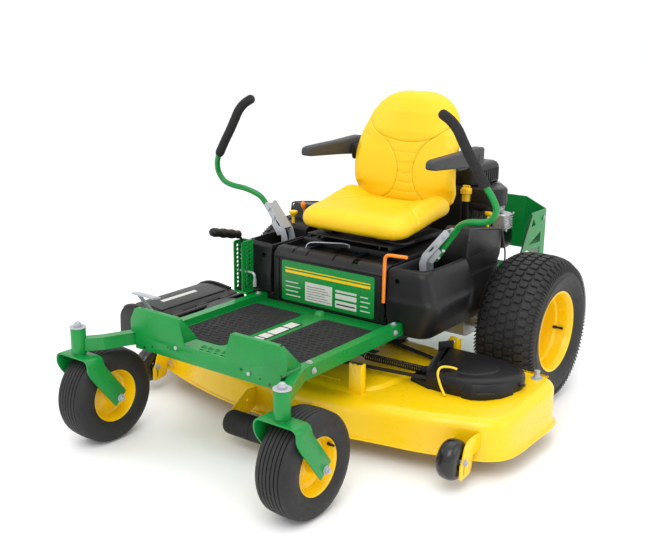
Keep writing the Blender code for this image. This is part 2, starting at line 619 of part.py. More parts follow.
def make_engine():
    block = box(-0.125, 0.125, 0.205, 0.455, 0.4005, 0.600)
    for side in (1, -1):
        block = fuse(block, box(*sorted((side * 0.100, side * 0.262)), 0.200, 0.330, 0.556, 0.668))
        for fin in range(4):
            x = side * (0.150 + 0.024 * fin)
            block = fuse(block, box(*sorted((x, x + side * 0.004)), 0.190, 0.340, 0.548, 0.677))
        block = fuse(block, box(-0.150, 0.150, 0.20, 0.23, 0.3665, 0.405), box(-0.150, 0.150, 0.43, 0.46, 0.3665, 0.405))
    cut(block, rod("z", (0.0, CRANK_Y), 0.0180, 0.36, 0.55, 20))
    name_part(block, "engine_block", "cast_alloy")
    for side in (1, -1):
        cover = prism(rounded(0.212, 0.288, 0.572, 0.654, 0.018), "x", *sorted((side * 0.2625, side * 0.318)))
        name_part(soften(cover, 0.008), side_name("valve_cover", side), "cast_alloy")
    half_plan = [(0.262, 0.150), (0.300, 0.180), (0.300, 0.248), (0.262, 0.300), (0.205, 0.372), (0.150, 0.430)]
    shroud = prism(half_plan + mirror_x(half_plan[::-1], -1), "z", 0.681, 0.752)
    shroud = fuse(shroud, prism([(-0.13, 0.142), (0.13, 0.142), (0.145, 0.190), (-0.145, 0.190)], "z", 0.500, 0.745))
    name_part(soften(shroud, 0.010), "engine_shroud", "black_plastic")
    cleaner = loft([raise_to(rounded(-0.200, 0.200, 0.175, 0.405, 0.080, 4), 0.7525),
                    raise_to(rounded(-0.194, 0.194, 0.183, 0.397, 0.080, 4), 0.800),
                    raise_to(rounded(-0.150, 0.150, 0.220, 0.360, 0.070, 4), 0.836)])
    name_part(cleaner, "air_cleaner", "black_plastic")
    muffler = prism(rounded(0.500, 0.612, 0.420, 0.520, 0.045, 4), "x", -0.170, 0.170)
    muffler = fuse(muffler, tube([(-0.120, 0.555, 0.440), (-0.120, 0.560, 0.400), (-0.120, 0.600, 0.378),
                                  (-0.120, 0.650, 0.372)], 0.016, 10))
    name_part(muffler, "muffler", "black_steel")


def make_engine_guard():
    """A plate wrapped round the back of the engine, with cut-out cheeks."""
    plan = [(0.367, 0.200), (0.367, 0.492), (0.180, 0.700), (-0.180, 0.700), (-0.367, 0.492), (-0.367, 0.200)]
    wrap = prism(band(plan, 0.002), "z", 0.400, 0.637)
    slope = [(0.190, 0.390), (0.2095, 0.390), (0.351, 0.630), (0.357, 0.645), (0.190, 0.645)]
    cut(wrap, prism(slope, "x", -0.40, 0.40))
    foot = []
    for side in (1, -1):
        foot.append(prism([(0.230, 0.3470), (0.552, 0.3470), (0.500, 0.405), (0.230, 0.405)], "x",
                          *sorted((side * 0.365, side * 0.369))))
        foot.append(box(*sorted((side * (RAIL_X + RAIL_HALF + GAP), side * 0.367)), 0.340, 0.480, 0.350, 0.356))
    wrap = fuse(wrap, *foot)
    for window in ([(0.352, 0.574), (0.394, 0.580), (0.374, 0.612)], [(0.332, 0.506), (0.448, 0.502), (0.448, 0.546)],
                   [(0.300, 0.486), (0.448, 0.450), (0.448, 0.482)]):
        cut(wrap, prism(window, "x", -0.40, 0.40))
    name_part(wrap, "engine_guard", "green_paint")


def make_transaxle(side):
    x0, x1 = sorted((side * 0.135, side * 0.310))
    case = prism(rounded(-0.085, 0.075, 0.205, 0.335, 0.030), "x", x0, x1)
    boss = rod("x", (0.0, DRIVE_RADIUS), 0.048, *sorted((side * 0.290, side * 0.425)), 20)
    mount = box(*sorted((side * 0.294, side * 0.320)), -0.060, 0.060, 0.30, RAIL_LOW - GAP)
    case = fuse(case, boss, mount)
    cut(case, rod("x", (0.0, DRIVE_RADIUS), 0.0166, *sorted((side * 0.310, side * 0.45)), 20))
    name_part(case, side_name("transaxle", side), "cast_alloy")


def make_crankshaft():
    """The engine's shaft with the drive pulley and the blade clutch below it."""
    r = CLUTCH_RADIUS
    profile = [(0.0175, 0.540), (0.0175, 0.3440), (0.045, 0.3440), (0.045, 0.3400), (0.036, 0.3340), (0.045, 0.3280),
               (0.045, 0.3240), (0.020, 0.3240), (0.020, 0.3180), (r, 0.3180), (r, 0.2560), (0.024, 0.2560),
               (0.024, 0.2500), (0.050, 0.2500), (0.050, 0.2460), (0.040, 0.2385), (0.050, 0.2310), (0.050, 0.2270),
               (0.012, 0.2270), (0.012, 0.2190)]
    name_part(turned(profile, "z", (0.0, CRANK_Y), 16), "engine_shaft", "zinc_steel", (0.0, CRANK_Y, 0.38))


# Deck -------------------------------------------------------------------------------------------------

def spindle_places():
    return {"left": (DECK_X + SPINDLE_STEP, SPINDLE_Y), "middle": (DECK_X, SPINDLE_CENTRE_Y),
            "right": (DECK_X - SPINDLE_STEP, SPINDLE_Y)}


def deck_outline(grow=0.0):
    """The deck's plan, anticlockwise from the middle of the front edge."""
    right = DECK_X - 0.755
    corners = [(-0.160, -0.880), (0.040, -0.888), (0.240, -0.872), (0.400, -0.838), (0.560, -0.804), (0.640, -0.776),
               (0.745, -0.742), (0.798, -0.690), (0.812, -0.620), (0.812, -0.380), (0.800, -0.325), (0.762, -0.294),
               (0.700, -0.288), (0.560, -0.288), (0.420, -0.288), (0.300, -0.276), (0.160, -0.262), (-0.080, -0.262),
               (-0.220, -0.276), (-0.340, -0.288), (-0.480, -0.288), (-0.620, -0.288), (-0.690, -0.300),
               (right, -0.340), (right, -0.680), (-0.680, -0.735), (-0.560, -0.788), (-0.360, -0.846)]
    return inset(corners, -grow) if grow else corners


def deck_top(y, below=0.0):
    return DECK_TOP + DECK_SLOPE * (y - DECK_FRONT) - below


def tilt_to(outline, below):
    """An outline laid parallel to the deck's sloping top, a distance below it."""
    return [(x, y, deck_top(y, below)) for x, y in outline]


def make_deck_shell():
    shell = loft([
        tilt_to(inset(deck_outline(), 0.042), DECK_SKIN), tilt_to(inset(deck_outline(), 0.016), 0.015),
        tilt_to(inset(deck_outline(), DECK_SKIN), 0.036),
        raise_to(inset(deck_outline(), DECK_SKIN), DECK_LOW), raise_to(deck_outline(0.012), DECK_LOW),
        raise_to(deck_outline(0.012), DECK_LOW + 0.005), raise_to(deck_outline(), DECK_LOW + 0.012),
        tilt_to(deck_outline(), 0.032), tilt_to(inset(deck_outline(), 0.012), 0.010),
        tilt_to(inset(deck_outline(), 0.040), 0.0),
    ])
    for x, y in spindle_places().values():
        shell = fuse(shell, turned([(0.060, DECK_TOP - 0.003), (0.052, 0.200), (0.030, 0.2190), (0.026, 0.2230)],
                                   "z", (x, y), 12),
                     rod("z", (x, y), 0.032, 0.125, DECK_TOP, 12))
    for side in (1, -1):
        x, y, z = GAUGE_X[side], GAUGE_Y, GAUGE_Z
        reach, inner_reach = GAUGE_REACH[side]
        cheek = [(y - 0.022, z - 0.052), (y + 0.050, z - 0.052), (y + reach, 0.090), (y + reach, 0.158),
                 (y + reach - 0.030, 0.165), (y - 0.022, z + 0.038)]
        plate = prism(cheek, "x", side * x + 0.037, side * x + 0.043)
        post = box(*sorted((side * 0.266, side * 0.316)), -0.790, -0.786, DECK_TOP - 0.004, 0.300)
        rear = box(*sorted((side * 0.384, side * 0.430)), -0.344, -0.340, DECK_TOP, 0.300)
        shell = fuse(shell, plate, rod("x", (y, z), 0.0080, side * x - 0.048, side * x + 0.052, 10),
                     post, rear)
        inner = prism([(y - 0.012, z - 0.012), (y + inner_reach, 0.085), (y + inner_reach, 0.140),
                       (y - 0.012, z + 0.014)], "x",
                      side * x - 0.042, side * x - 0.038)
        shell = fuse(shell, inner, rod("z", (side * IDLER[0] + DECK_X, IDLER[1]), 0.0080, DECK_TOP - 0.004, 0.250, 12),
                     box(*sorted((side * IDLER[0] + DECK_X - 0.02, side * IDLER[0] + DECK_X + 0.02)),
                         IDLER[1] - 0.030, IDLER[1] + 0.010, 0.214, 0.2262),
                     rod("z", (side * IDLER[0] + DECK_X, IDLER[1]), IDLER_RADIUS, 0.2315, 0.2455, 20))
    for x in (-0.062, 0.182):
        cheek = [(ROLLER_Y - 0.022, 0.060), (ROLLER_Y + 0.030, 0.058), (-0.870, 0.100), (-0.870, 0.160), (-0.930, 0.166),
                 (ROLLER_Y + 0.030, 0.128)]
        shell = fuse(shell, prism(cheek, "x", x - 0.0025, x + 0.0025))
    for y in (-0.660, -0.520, -0.380):
        shell = fuse(shell, box(CHUTE_HINGE[0] - 0.006, CHUTE_HINGE[0] + 0.006, y - 0.010, y + 0.010, DECK_TOP, 0.2450))
    shell = fuse(shell, rod("x", (ROLLER_Y, ROLLER_Z), 0.0070, -0.068, 0.188, 10))
    for x, y in spindle_places().values():
        cut(shell, rod("z", (x, y), 0.0148, 0.10, 0.26, 12))
    right = DECK_X - 0.755
    cut(shell, box(right - 0.03, right + 0.03, -0.660, -0.310, 0.078, 0.150))
    name_part(shell, "deck_shell", "yellow_paint")


def make_blades():
    for where, (x, y) in spindle_places().items():
        pulley = [(0.0135, BLADE_LOW + 0.0065), (0.0135, 0.2235), (0.030, 0.2240), (0.030, 0.2275),
                  (PULLEY_RADIUS, 0.2275), (PULLEY_RADIUS, 0.2295), (PULLEY_RADIUS - 0.012, 0.2325),
                  (PULLEY_RADIUS - 0.012, 0.2445), (PULLEY_RADIUS, 0.2475), (PULLEY_RADIUS, 0.2500), (0.016, 0.2500),
                  (0.016, 0.2600)]
        name_part(turned(pulley, "z", (x, y), 16), "spindle_" + where, "zinc_steel", (x, y, 0.2))
        half, width = BLADE_RADIUS, 0.031
        plan = [(-half, -width), (half * 0.55, -width), (half, -width * 0.6), (half, width), (-half * 0.55, width),
                (-half, width * 0.6)]
        blade = prism([(x + u, y + v) for u, v in plan], "z", BLADE_LOW, BLADE_LOW + 0.0060)
        for way in (1, -1):
            lift = [(y + way * width * 0.45, BLADE_LOW + 0.003), (y + way * width, BLADE_LOW + 0.003),
                    (y + way * width, BLADE_LOW + 0.028)]
            blade = fuse(blade, prism(lift, "x", *sorted((x + way * half * 0.72, x + way * half * 0.985))))
        blade = fuse(blade, rod("z", (x, y), 0.0140, BLADE_LOW - 0.010, BLADE_LOW + 0.001, 6))
        name_part(blade, "blade_" + where, "black_steel", (x, y, BLADE_LOW))


def tangent_points(first, second):
    """Where a belt leaves one pulley and meets the next; a pulley is (x, y, radius, way round)."""
    (x0, y0, r0, way0), (x1, y1, r1, way1) = first, second
    reach = math.hypot(x1 - x0, y1 - y0)
    line = math.atan2(y1 - y0, x1 - x0)
    lean = math.acos((way0 * r0 - way1 * r1) / reach)
    turn = line - lean
    return ((x0 + way0 * r0 * math.cos(turn), y0 + way0 * r0 * math.sin(turn)),
            (x1 + way1 * r1 * math.cos(turn), y1 + way1 * r1 * math.sin(turn)))


def belt_path(pulleys):
    """A belt's closed line round its pulleys, with arcs on each one."""
    count = len(pulleys)
    runs = [tangent_points(pulleys[i], pulleys[(i + 1) % count]) for i in range(count)]
    path = []
    for i, (x, y, radius, way) in enumerate(pulleys):
        arrive, leave = runs[i - 1][1], runs[i][0]
        start = math.atan2(arrive[1] - y, arrive[0] - x)
        stop = math.atan2(leave[1] - y, leave[0] - x)
        sweep_angle = (stop - start) * way % math.tau
        steps = max(2, math.ceil(sweep_angle / 0.35))
        for step in range(steps + 1):
            turn = start + way * sweep_angle * step / steps
            path.append((x + radius * math.cos(turn), y + radius * math.sin(turn)))
    return path


def make_deck_belt():
    places = spindle_places()
    groove = PULLEY_RADIUS - 0.012 + BELT_HALF_WIDTH + 0.0012
    idler = IDLER_RADIUS + BELT_HALF_WIDTH + 0.0006
    pulleys = [(*places["right"], groove, 1), (*places["middle"], groove, 1), (*places["left"], groove, 1),
               (DECK_X + IDLER[0], IDLER[1], idler, -1), (0.0, CRANK_Y, CLUTCH_RADIUS + BELT_HALF_WIDTH + 0.004, 1),
               (DECK_X - IDLER[0], IDLER[1], idler, -1)]
    path = belt_path(pulleys)
    outer, inner = [], []
    for i, point in enumerate(path):
        along = (Vector(path[(i + 1) % len(path)]) - Vector(path[i - 1])).normalized()
        side = Vector((along.y, -along.x)) * BELT_HALF_WIDTH
        outer.append(Vector(point) + side)
        inner.append(Vector(point) - side)
    sections = []
    taper = 0.0015
    for i, point in enumerate(path):
        sections.append([Vector((*outer[i], BELT_Z - BELT_HALF_HEIGHT)), Vector((*outer[i], BELT_Z + BELT_HALF_HEIGHT)),
                         Vector((*inner[i], BELT_Z + BELT_HALF_HEIGHT - taper)),
                         Vector((*inner[i], BELT_Z - BELT_HALF_HEIGHT + taper))])
    name_part(loft(sections, closed=True), "deck_belt", "rubber")


def make_belt_cover(side):
    centre = DECK_X + side * SPINDLE_STEP
    half_plan = [(-0.150, -0.352), (-0.148, -0.430), (-0.118, -0.530), (-0.080, -0.620), (0.000, -0.627),
                 (0.060, -0.622), (0.126, -0.592), (0.169, -0.545), (0.200, -0.470), (0.194, -0.420), (0.165, -0.385),
                 (0.090, -0.356), (-0.040, -0.350)]
    plan = [(centre + side * x, y) for x, y in half_plan]
    cover = loft([raise_to(inset(plan, 0.008), 0.2640), tilt_to(inset(plan, 0.004), -0.0006), tilt_to(plan, -0.0006),
                  raise_to(plan, 0.252), raise_to(inset(plan, 0.012), 0.2675)])
    low, high = sorted((centre - side * 0.20, centre - side * 0.045))
    cut(cover, box(low, high, -0.652, -0.420, 0.190, 0.258))
    name_part(cover, side_name("belt_cover", side), "black_plastic")


def make_rollers():
    for side in (1, -1):
        x, y, z = GAUGE_X[side], GAUGE_Y, GAUGE_Z
        r = GAUGE_RADIUS
        profile = [(0.0088, 0.030), (0.030, 0.034), (0.050, 0.031), (0.060, 0.020), (r, 0.006), (r, -0.006),
                   (0.060, -0.020), (0.050, -0.031), (0.030, -0.034), (0.0088, -0.030)]
        wheel = ring([(radius, side * x + along) for radius, along in profile], "x", (y, z), 18)
        name_part(wheel, side_name("gauge_wheel", side), "rubber", (side * x, y, z))
    profile = [(0.0080, -0.057), (0.036, -0.057), (ROLLER_RADIUS, -0.050), (ROLLER_RADIUS, 0.0585),
               (ROLLER_RADIUS - 0.004, 0.060), (ROLLER_RADIUS, 0.0615), (ROLLER_RADIUS, 0.170), (0.036, 0.177),
               (0.0080, 0.177)]
    name_part(ring(profile, "x", (ROLLER_Y, ROLLER_Z), 18), "front_roller", "rubber", (0.060, ROLLER_Y, ROLLER_Z))


def make_chute():
    """The discharge chute: a hood with three skirts, hinged along its inner edge."""
    x, _, z = CHUTE_HINGE
    hood = prism([(x - 0.006, z + 0.006), (x - 0.060, z + 0.020), (x - 0.130, z + 0.026), (x - 0.190, z + 0.018),
                  (x - 0.226, z), (x - 0.243, z - 0.030), (x - 0.246, z - 0.116), (x - 0.062, z - 0.066),
                  (x - 0.048, z - 0.012), (x - 0.006, z - 0.0045)], "y", -0.748, -0.292)
    hollow = prism([(x + 0.020, z - 0.002), (x - 0.006, z + 0.001), (x - 0.060, z + 0.015), (x - 0.130, z + 0.021),
                    (x - 0.188, z + 0.013), (x - 0.222, z - 0.004), (x - 0.2375, z - 0.031), (x - 0.241, z - 0.150),
                    (x + 0.020, z - 0.150)], "y", -0.743, -0.297)
    hood = cut(hood, hollow)
    for y in (-0.660, -0.520, -0.380):
        hood = fuse(hood, rod("y", (x, z), 0.0065, y - 0.022, y + 0.022, 12),
                    box(x - 0.016, x, y - 0.022, y + 0.022, z + 0.0020, z + 0.0060))
    name_part(hood, "discharge_chute", "black_plastic", CHUTE_HINGE)


def main():
    clear_scene()
    add_materials()
    machine = bpy.data.objects.new("machine", None)
    bpy.context.scene.collection.objects.link(machine)
    make_main_frame()
    make_guard_plate()
    make_floor()
    make_front_panel()
    make_height_sector()
    make_lift_pedal()
    make_wrench()
    make_dash_controls()
    make_seat()
    make_engine()
    make_engine_guard()
    make_crankshaft()
    make_deck_shell()
    make_blades()
    make_deck_belt()
    make_rollers()
    make_chute()
    for side in (1, -1):
        make_console(side)
        make_caster(side)
        make_drive_wheel(side)
        make_control_lever(side)
        make_transaxle(side)
        make_belt_cover(side)
    machine.location = (-BOX_CENTRE[0], -BOX_CENTRE[1], 0.0)


main()
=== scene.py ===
"""The looks of the zero turn mower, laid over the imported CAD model.

Shapes are written in machine coordinates, as in the part's source: X to the machine's left, the front
towards -Y, the drive axle at Y = 0 and the ground at Z = 0. add_piece() moves them to the row frame.
"""

import json
import math

import bmesh
import bpy
import numpy as np
from mathutils.bvhtree import BVHTree
from mathutils import Matrix, Vector


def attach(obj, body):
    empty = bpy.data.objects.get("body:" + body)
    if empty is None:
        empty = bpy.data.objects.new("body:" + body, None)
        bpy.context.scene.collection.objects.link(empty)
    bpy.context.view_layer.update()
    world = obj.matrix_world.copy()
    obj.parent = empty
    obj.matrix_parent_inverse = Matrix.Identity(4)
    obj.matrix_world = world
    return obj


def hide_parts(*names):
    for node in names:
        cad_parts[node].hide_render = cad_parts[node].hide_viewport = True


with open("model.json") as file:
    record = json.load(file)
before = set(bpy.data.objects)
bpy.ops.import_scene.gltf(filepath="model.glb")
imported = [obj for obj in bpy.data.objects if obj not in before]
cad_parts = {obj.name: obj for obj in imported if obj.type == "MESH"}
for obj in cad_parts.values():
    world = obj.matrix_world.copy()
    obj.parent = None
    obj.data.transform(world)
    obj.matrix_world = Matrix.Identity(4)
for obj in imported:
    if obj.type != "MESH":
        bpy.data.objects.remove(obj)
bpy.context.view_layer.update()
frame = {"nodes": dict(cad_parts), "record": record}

# Places and sizes, metres, machine coordinates.
SHIFT = Vector((0.047, 0.3545, 0.0))    # from machine coordinates to the row frame
CASTER_X, CASTER_Y, CASTER_R = 0.432, -1.246, 0.165
KINGPIN_Y = -1.345
CASTER_HALF = 0.0637
DRIVE_X, DRIVE_R = 0.557, 0.281
RAIL_X, RAIL_TOP = 0.307, 0.388
FLOOR_TOP = 0.368
CHUTE_HINGE = (-0.672, 0.252)           # X and Z of the chute's hinge line
GUARD_Y = -1.200
PANEL_Y = -0.560
LEVER_PIVOT = Vector((0.319, -0.392, 0.530))
DECK_X = 0.040
DECK_LOW = 0.070
SPINDLES = {"left": (0.540, -0.540), "middle": (0.040, -0.620), "right": (-0.460, -0.540)}
SECTOR_X = 0.365
SIDES = (1, -1)


def side_name(base, side):
    return base + ("_left" if side > 0 else "_right")


# Materials ----------------------------------------------------------------------------------------------

class Shade:
    """A Principled material built from object-space noise layers."""

    def __init__(self, name, colour, roughness, metallic=0.0, **extra):
        self.name = name
        self.material = bpy.data.materials.new("look_" + name)
        self.material.use_nodes = True
        self.tree = self.material.node_tree
        self.shader = self.tree.nodes["Principled BSDF"]
        self.colour = (*colour, 1.0)
        self.shader.inputs["Base Color"].default_value = self.colour
        self.shader.inputs["Roughness"].default_value = roughness
        self.shader.inputs["Metallic"].default_value = metallic
        for socket, value in extra.items():
            self.shader.inputs[socket].default_value = value
        self.place = self.tree.nodes.new("ShaderNodeTexCoord").outputs["Object"]
        self.bumped = None

    def node(self, kind, **settings):
        made = self.tree.nodes.new(kind)
        for key, value in settings.items():
            if key in made.inputs:
                made.inputs[key].default_value = value
            else:
                setattr(made, key, value)
        return made

    def link(self, source, target):
        self.tree.links.new(source, target)

    def noise(self, scale, detail=3.0, roughness=0.55, stretch=None):
        made = self.node("ShaderNodeTexNoise", Scale=scale, Detail=detail, Roughness=roughness)
        if stretch:
            mapping = self.node("ShaderNodeMapping", Scale=stretch)
            self.link(self.place, mapping.inputs["Vector"])
            self.link(mapping.outputs["Vector"], made.inputs["Vector"])
        else:
            self.link(self.place, made.inputs["Vector"])
        return made.outputs["Fac"]

    def ramp(self, source, low, high, start=0.35, stop=0.65):
        made = self.node("ShaderNodeValToRGB")
        made.color_ramp.elements[0].position = start
        made.color_ramp.elements[1].position = stop
        made.color_ramp.elements[0].color = low
        made.color_ramp.elements[1].color = high
        self.link(source, made.inputs["Fac"])
        return made.outputs["Color"]

    def vary(self, scale, amount, other=None):
        """Lets the base colour drift towards a darker or another colour in soft patches."""
        dark = (*other, 1.0) if other else (*[c * (1.0 - amount) for c in self.colour[:3]], 1.0)
        self.link(self.ramp(self.noise(scale), dark, self.colour), self.shader.inputs["Base Color"])
        return self

    def rough(self, scale, low, high):
        self.link(self.ramp(self.noise(scale, 5.0), (low, low, low, 1), (high, high, high, 1)),
                  self.shader.inputs["Roughness"])
        return self

    def bump(self, height, distance, strength=1.0):
        """Adds one more layer of relief, distance in metres."""
        made = self.node("ShaderNodeBump", Strength=strength, Distance=distance)
        self.link(height, made.inputs["Height"])
        if self.bumped:
            self.link(self.bumped, made.inputs["Normal"])
        self.bumped = made.outputs["Normal"]
        self.link(self.bumped, self.shader.inputs["Normal"])
        return self

    def painted_edge_highlight(self, colour, radius=0.0015, amount=0.5):
        """A painted highlight: a lighter line where the surface turns a sharp corner, standing in for the light
        that a rounded edge catches.
        """
        bevel = self.node("ShaderNodeBevel", samples=4, Radius=radius)
        flat = self.node("ShaderNodeNewGeometry").outputs["Normal"]
        turn = self.node("ShaderNodeVectorMath", operation="DOT_PRODUCT")
        self.link(bevel.outputs["Normal"], turn.inputs[0])
        self.link(flat, turn.inputs[1])
        mask = self.ramp(turn.outputs["Value"], (amount,) * 3 + (1,), (0, 0, 0, 1), 0.75, 0.97)
        mix = self.node("ShaderNodeMix", data_type="RGBA")
        socket = self.shader.inputs["Base Color"]
        if socket.is_linked:
            self.link(socket.links[0].from_socket, mix.inputs["A"])
        else:
            mix.inputs["A"].default_value = self.colour
        mix.inputs["B"].default_value = (*colour, 1.0)
        self.link(mask, mix.inputs["Factor"])
        self.link(mix.outputs["Result"], socket)
        return self


MATERIALS = {}


def keep(shade):
    """Files a finished material under its name, which is the record slot that pieces made of it take."""
    MATERIALS[shade.name] = shade.material


def make_paints():
    green = Shade("green_paint", (0.002, 0.235, 0.038), 0.34,
                  **{"Coat Weight": 0.12, "Coat Roughness": 0.15, "Specular IOR Level": 0.35})
    green.vary(7.0, 0.14).rough(55.0, 0.27, 0.38)
    green.bump(green.noise(420.0, 2.0), 0.00012).bump(green.noise(60.0, 1.0), 0.00015)
    # Painted highlight: a lighter green line along the sharp edges.
    green.painted_edge_highlight((0.02, 0.42, 0.10), 0.0012, 0.5)
    keep(green)
    yellow = Shade("yellow_paint", (0.88, 0.55, 0.0), 0.30, **{"Coat Weight": 0.10, "Coat Roughness": 0.12})
    yellow.vary(6.0, 0.0, (0.88, 0.56, 0.0)).rough(40.0, 0.26, 0.36)
    yellow.bump(yellow.noise(350.0, 2.0), 0.00010).bump(yellow.noise(40.0, 1.0), 0.00020)
    keep(yellow)
    black = Shade("black_steel", (0.007, 0.007, 0.008), 0.36, **{"Specular IOR Level": 0.35})
    black.vary(9.0, 0.0, (0.011, 0.011, 0.012)).rough(60.0, 0.30, 0.46)
    # Painted highlight: a grey line along the sharp edges.
    black.bump(black.noise(380.0, 2.0), 0.00012).painted_edge_highlight((0.10, 0.10, 0.10), 0.0012, 0.5)
    keep(black)


def make_plastics():
    black = Shade("black_plastic", (0.006, 0.006, 0.0068), 0.36, **{"Specular IOR Level": 0.30})
    black.vary(5.0, 0.0, (0.009, 0.009, 0.010)).rough(90.0, 0.33, 0.43)
    black.bump(black.noise(1400.0, 2.0), 0.00018).bump(black.noise(30.0, 1.0), 0.0002)
    keep(black)
    gloss = Shade("black_gloss", (0.006, 0.006, 0.007), 0.24)
    gloss.vary(6.0, 0.0, (0.015, 0.015, 0.016)).rough(30.0, 0.20, 0.30).bump(gloss.noise(25.0, 1.0), 0.0003)
    keep(gloss)
    grey = Shade("grey_plastic", (0.040, 0.041, 0.043), 0.46, **{"Specular IOR Level": 0.35})
    grey.vary(8.0, 0.15).rough(90.0, 0.46, 0.58).bump(grey.noise(1200.0, 2.0), 0.00018)
    keep(grey)
    yellow = Shade("yellow_plastic", (0.92, 0.58, 0.004), 0.34)
    yellow.vary(20.0, 0.08).rough(70.0, 0.30, 0.42).bump(yellow.noise(700.0, 2.0), 0.0001)
    keep(yellow)
    orange = Shade("orange_plastic", (0.90, 0.24, 0.010), 0.36)
    orange.vary(20.0, 0.10).rough(70.0, 0.30, 0.44).bump(orange.noise(700.0, 2.0), 0.0001)
    keep(orange)
    pale = Shade("pale_decal", (0.62, 0.62, 0.58), 0.34)
    pale.vary(10.0, 0.08).rough(25.0, 0.28, 0.40).bump(pale.noise(22.0, 1.0), 0.0002)
    keep(pale)


def make_rubbers():
    tyre = Shade("tyre_rubber", (0.012, 0.012, 0.0125), 0.58, **{"Specular IOR Level": 0.35})
    tyre.vary(11.0, 0.0, (0.018, 0.0178, 0.0175)).rough(130.0, 0.50, 0.66)
    tyre.bump(tyre.noise(900.0, 3.0), 0.00020).bump(tyre.noise(45.0, 2.0), 0.0006)
    # Painted highlight: a lighter line along the tyre's sharp edges.
    tyre.painted_edge_highlight((0.050, 0.049, 0.048), 0.0016, 0.5)
    keep(tyre)
    rubber = Shade("rubber", (0.013, 0.013, 0.0135), 0.66, **{"Specular IOR Level": 0.30})
    rubber.vary(14.0, 0.0, (0.018, 0.018, 0.018)).rough(110.0, 0.62, 0.80)
    # Painted highlight: a lighter line along the sharp edges.
    rubber.bump(rubber.noise(1000.0, 3.0), 0.00022).painted_edge_highlight((0.06, 0.06, 0.06), 0.0012, 0.4)
    keep(rubber)
    foam = Shade("foam_grip", (0.012, 0.012, 0.013), 0.80, **{"Specular IOR Level": 0.30})
    foam.vary(60.0, 0.0, (0.018, 0.018, 0.018)).rough(300.0, 0.72, 0.90)
    foam.bump(foam.noise(1800.0, 2.0), 0.00035).bump(foam.noise(240.0, 2.0), 0.0003)
    keep(foam)


def make_metals():
    zinc = Shade("zinc_steel", (0.42, 0.44, 0.47), 0.44, 0.35)
    zinc.vary(12.0, 0.0, (0.39, 0.41, 0.44)).rough(120.0, 0.36, 0.46).bump(zinc.noise(500.0, 2.0), 0.00010)
    keep(zinc)
    cast = Shade("cast_alloy", (0.56, 0.57, 0.58), 0.44, 1.0)
    cast.vary(24.0, 0.0, (0.44, 0.44, 0.44)).rough(160.0, 0.36, 0.56).bump(cast.noise(600.0, 3.0), 0.00035)
    keep(cast)


def make_vinyl():
    vinyl = Shade("yellow_vinyl", (0.86, 0.53, 0.0), 0.42)
    vinyl.vary(9.0, 0.0, (0.87, 0.545, 0.0)).rough(80.0, 0.40, 0.54)
    grain = vinyl.node("ShaderNodeTexVoronoi", Scale=420.0)
    grain.feature = "DISTANCE_TO_EDGE"
    vinyl.link(vinyl.place, grain.inputs["Vector"])
    vinyl.bump(grain.outputs["Distance"], 0.00022, 0.6).bump(vinyl.noise(70.0, 3.0), 0.0006)
    keep(vinyl)
    thread = Shade("seat_thread", (0.42, 0.25, 0.004), 0.62)
    thread.vary(300.0, 0.25).rough(400.0, 0.55, 0.75)
    thread.bump(thread.noise(1500.0, 2.0, stretch=(1.0, 0.2, 1.0)), 0.0002)
    keep(thread)


# Shapes -------------------------------------------------------------------------------------------------

def from_bmesh(shape, heal=True):
    if heal:
        bmesh.ops.recalc_face_normals(shape, faces=shape.faces)
        if shape.calc_volume(signed=True) < 0:
            bmesh.ops.reverse_faces(shape, faces=shape.faces)
    mesh = bpy.data.meshes.new("shape")
    shape.to_mesh(mesh)
    shape.free()
    made = bpy.data.objects.new("shape", mesh)
    bpy.context.scene.collection.objects.link(made)
    return made


def add_loops(shape, loops, closed=False, caps=True):
    """Joins rings of points with equal counts by faces, and caps both ends unless the skin closes on itself."""
    rings = [[shape.verts.new(point) for point in loop] for loop in loops]
    count = len(rings[0])
    pairs = list(zip(rings, rings[1:])) + ([(rings[-1], rings[0])] if closed else [])
    for low, high in pairs:
        for i in range(count):
            j = (i + 1) % count
            shape.faces.new((low[i], low[j], high[j], high[i]))
    if caps and not closed:
        shape.faces.new(rings[0])
        shape.faces.new(rings[-1])


def loft(loops, closed=False, caps=True):
    """A solid skin over rings of points."""
    shape = bmesh.new()
    add_loops(shape, loops, closed, caps)
    return from_bmesh(shape)


def place(axis, along, first, second):
    """The point at `along` on the axis, with the two other coordinates in X, Y, Z order."""
    if axis == "x":
        return Vector((along, first, second))
    if axis == "y":
        return Vector((first, along, second))
    return Vector((first, second, along))


def prism(outline, axis, low, high):
    return loft([[place(axis, along, *point) for point in outline] for along in (low, high)])


def box(x0, x1, y0, y1, z0, z1):
    x0, x1 = sorted((x0, x1))
    return prism([(x0, y0), (x1, y0), (x1, y1), (x0, y1)], "z", z0, z1)


def circle(centre, radius, sides, start=math.pi / 2):
    return [(centre[0] + radius * math.cos(start + math.tau * i / sides),
             centre[1] + radius * math.sin(start + math.tau * i / sides)) for i in range(sides)]


def rod(axis, centre, radius, low, high, sides=32):
    low, high = sorted((low, high))
    return prism(circle(centre, radius, sides), axis, low, high)


def turned(profile, axis, centre, steps=48):
    """A turned solid. The profile runs from one end of the axis to the other as (radius, distance along)."""
    return loft([[place(axis, along, *point) for point in circle(centre, max(radius, 0.0003), steps)]
                 for radius, along in profile])


def ring(profile, axis, centre, steps=64):
    """A turned ring. The profile is a closed outline of (radius, distance along the axis)."""
    loops = []
    for i in range(steps):
        turn = math.pi / 2 + math.tau * i / steps
        loops.append([place(axis, along, centre[0] + radius * math.cos(turn),
                            centre[1] + radius * math.sin(turn))
                      for radius, along in profile])
    return loft(loops, closed=True)


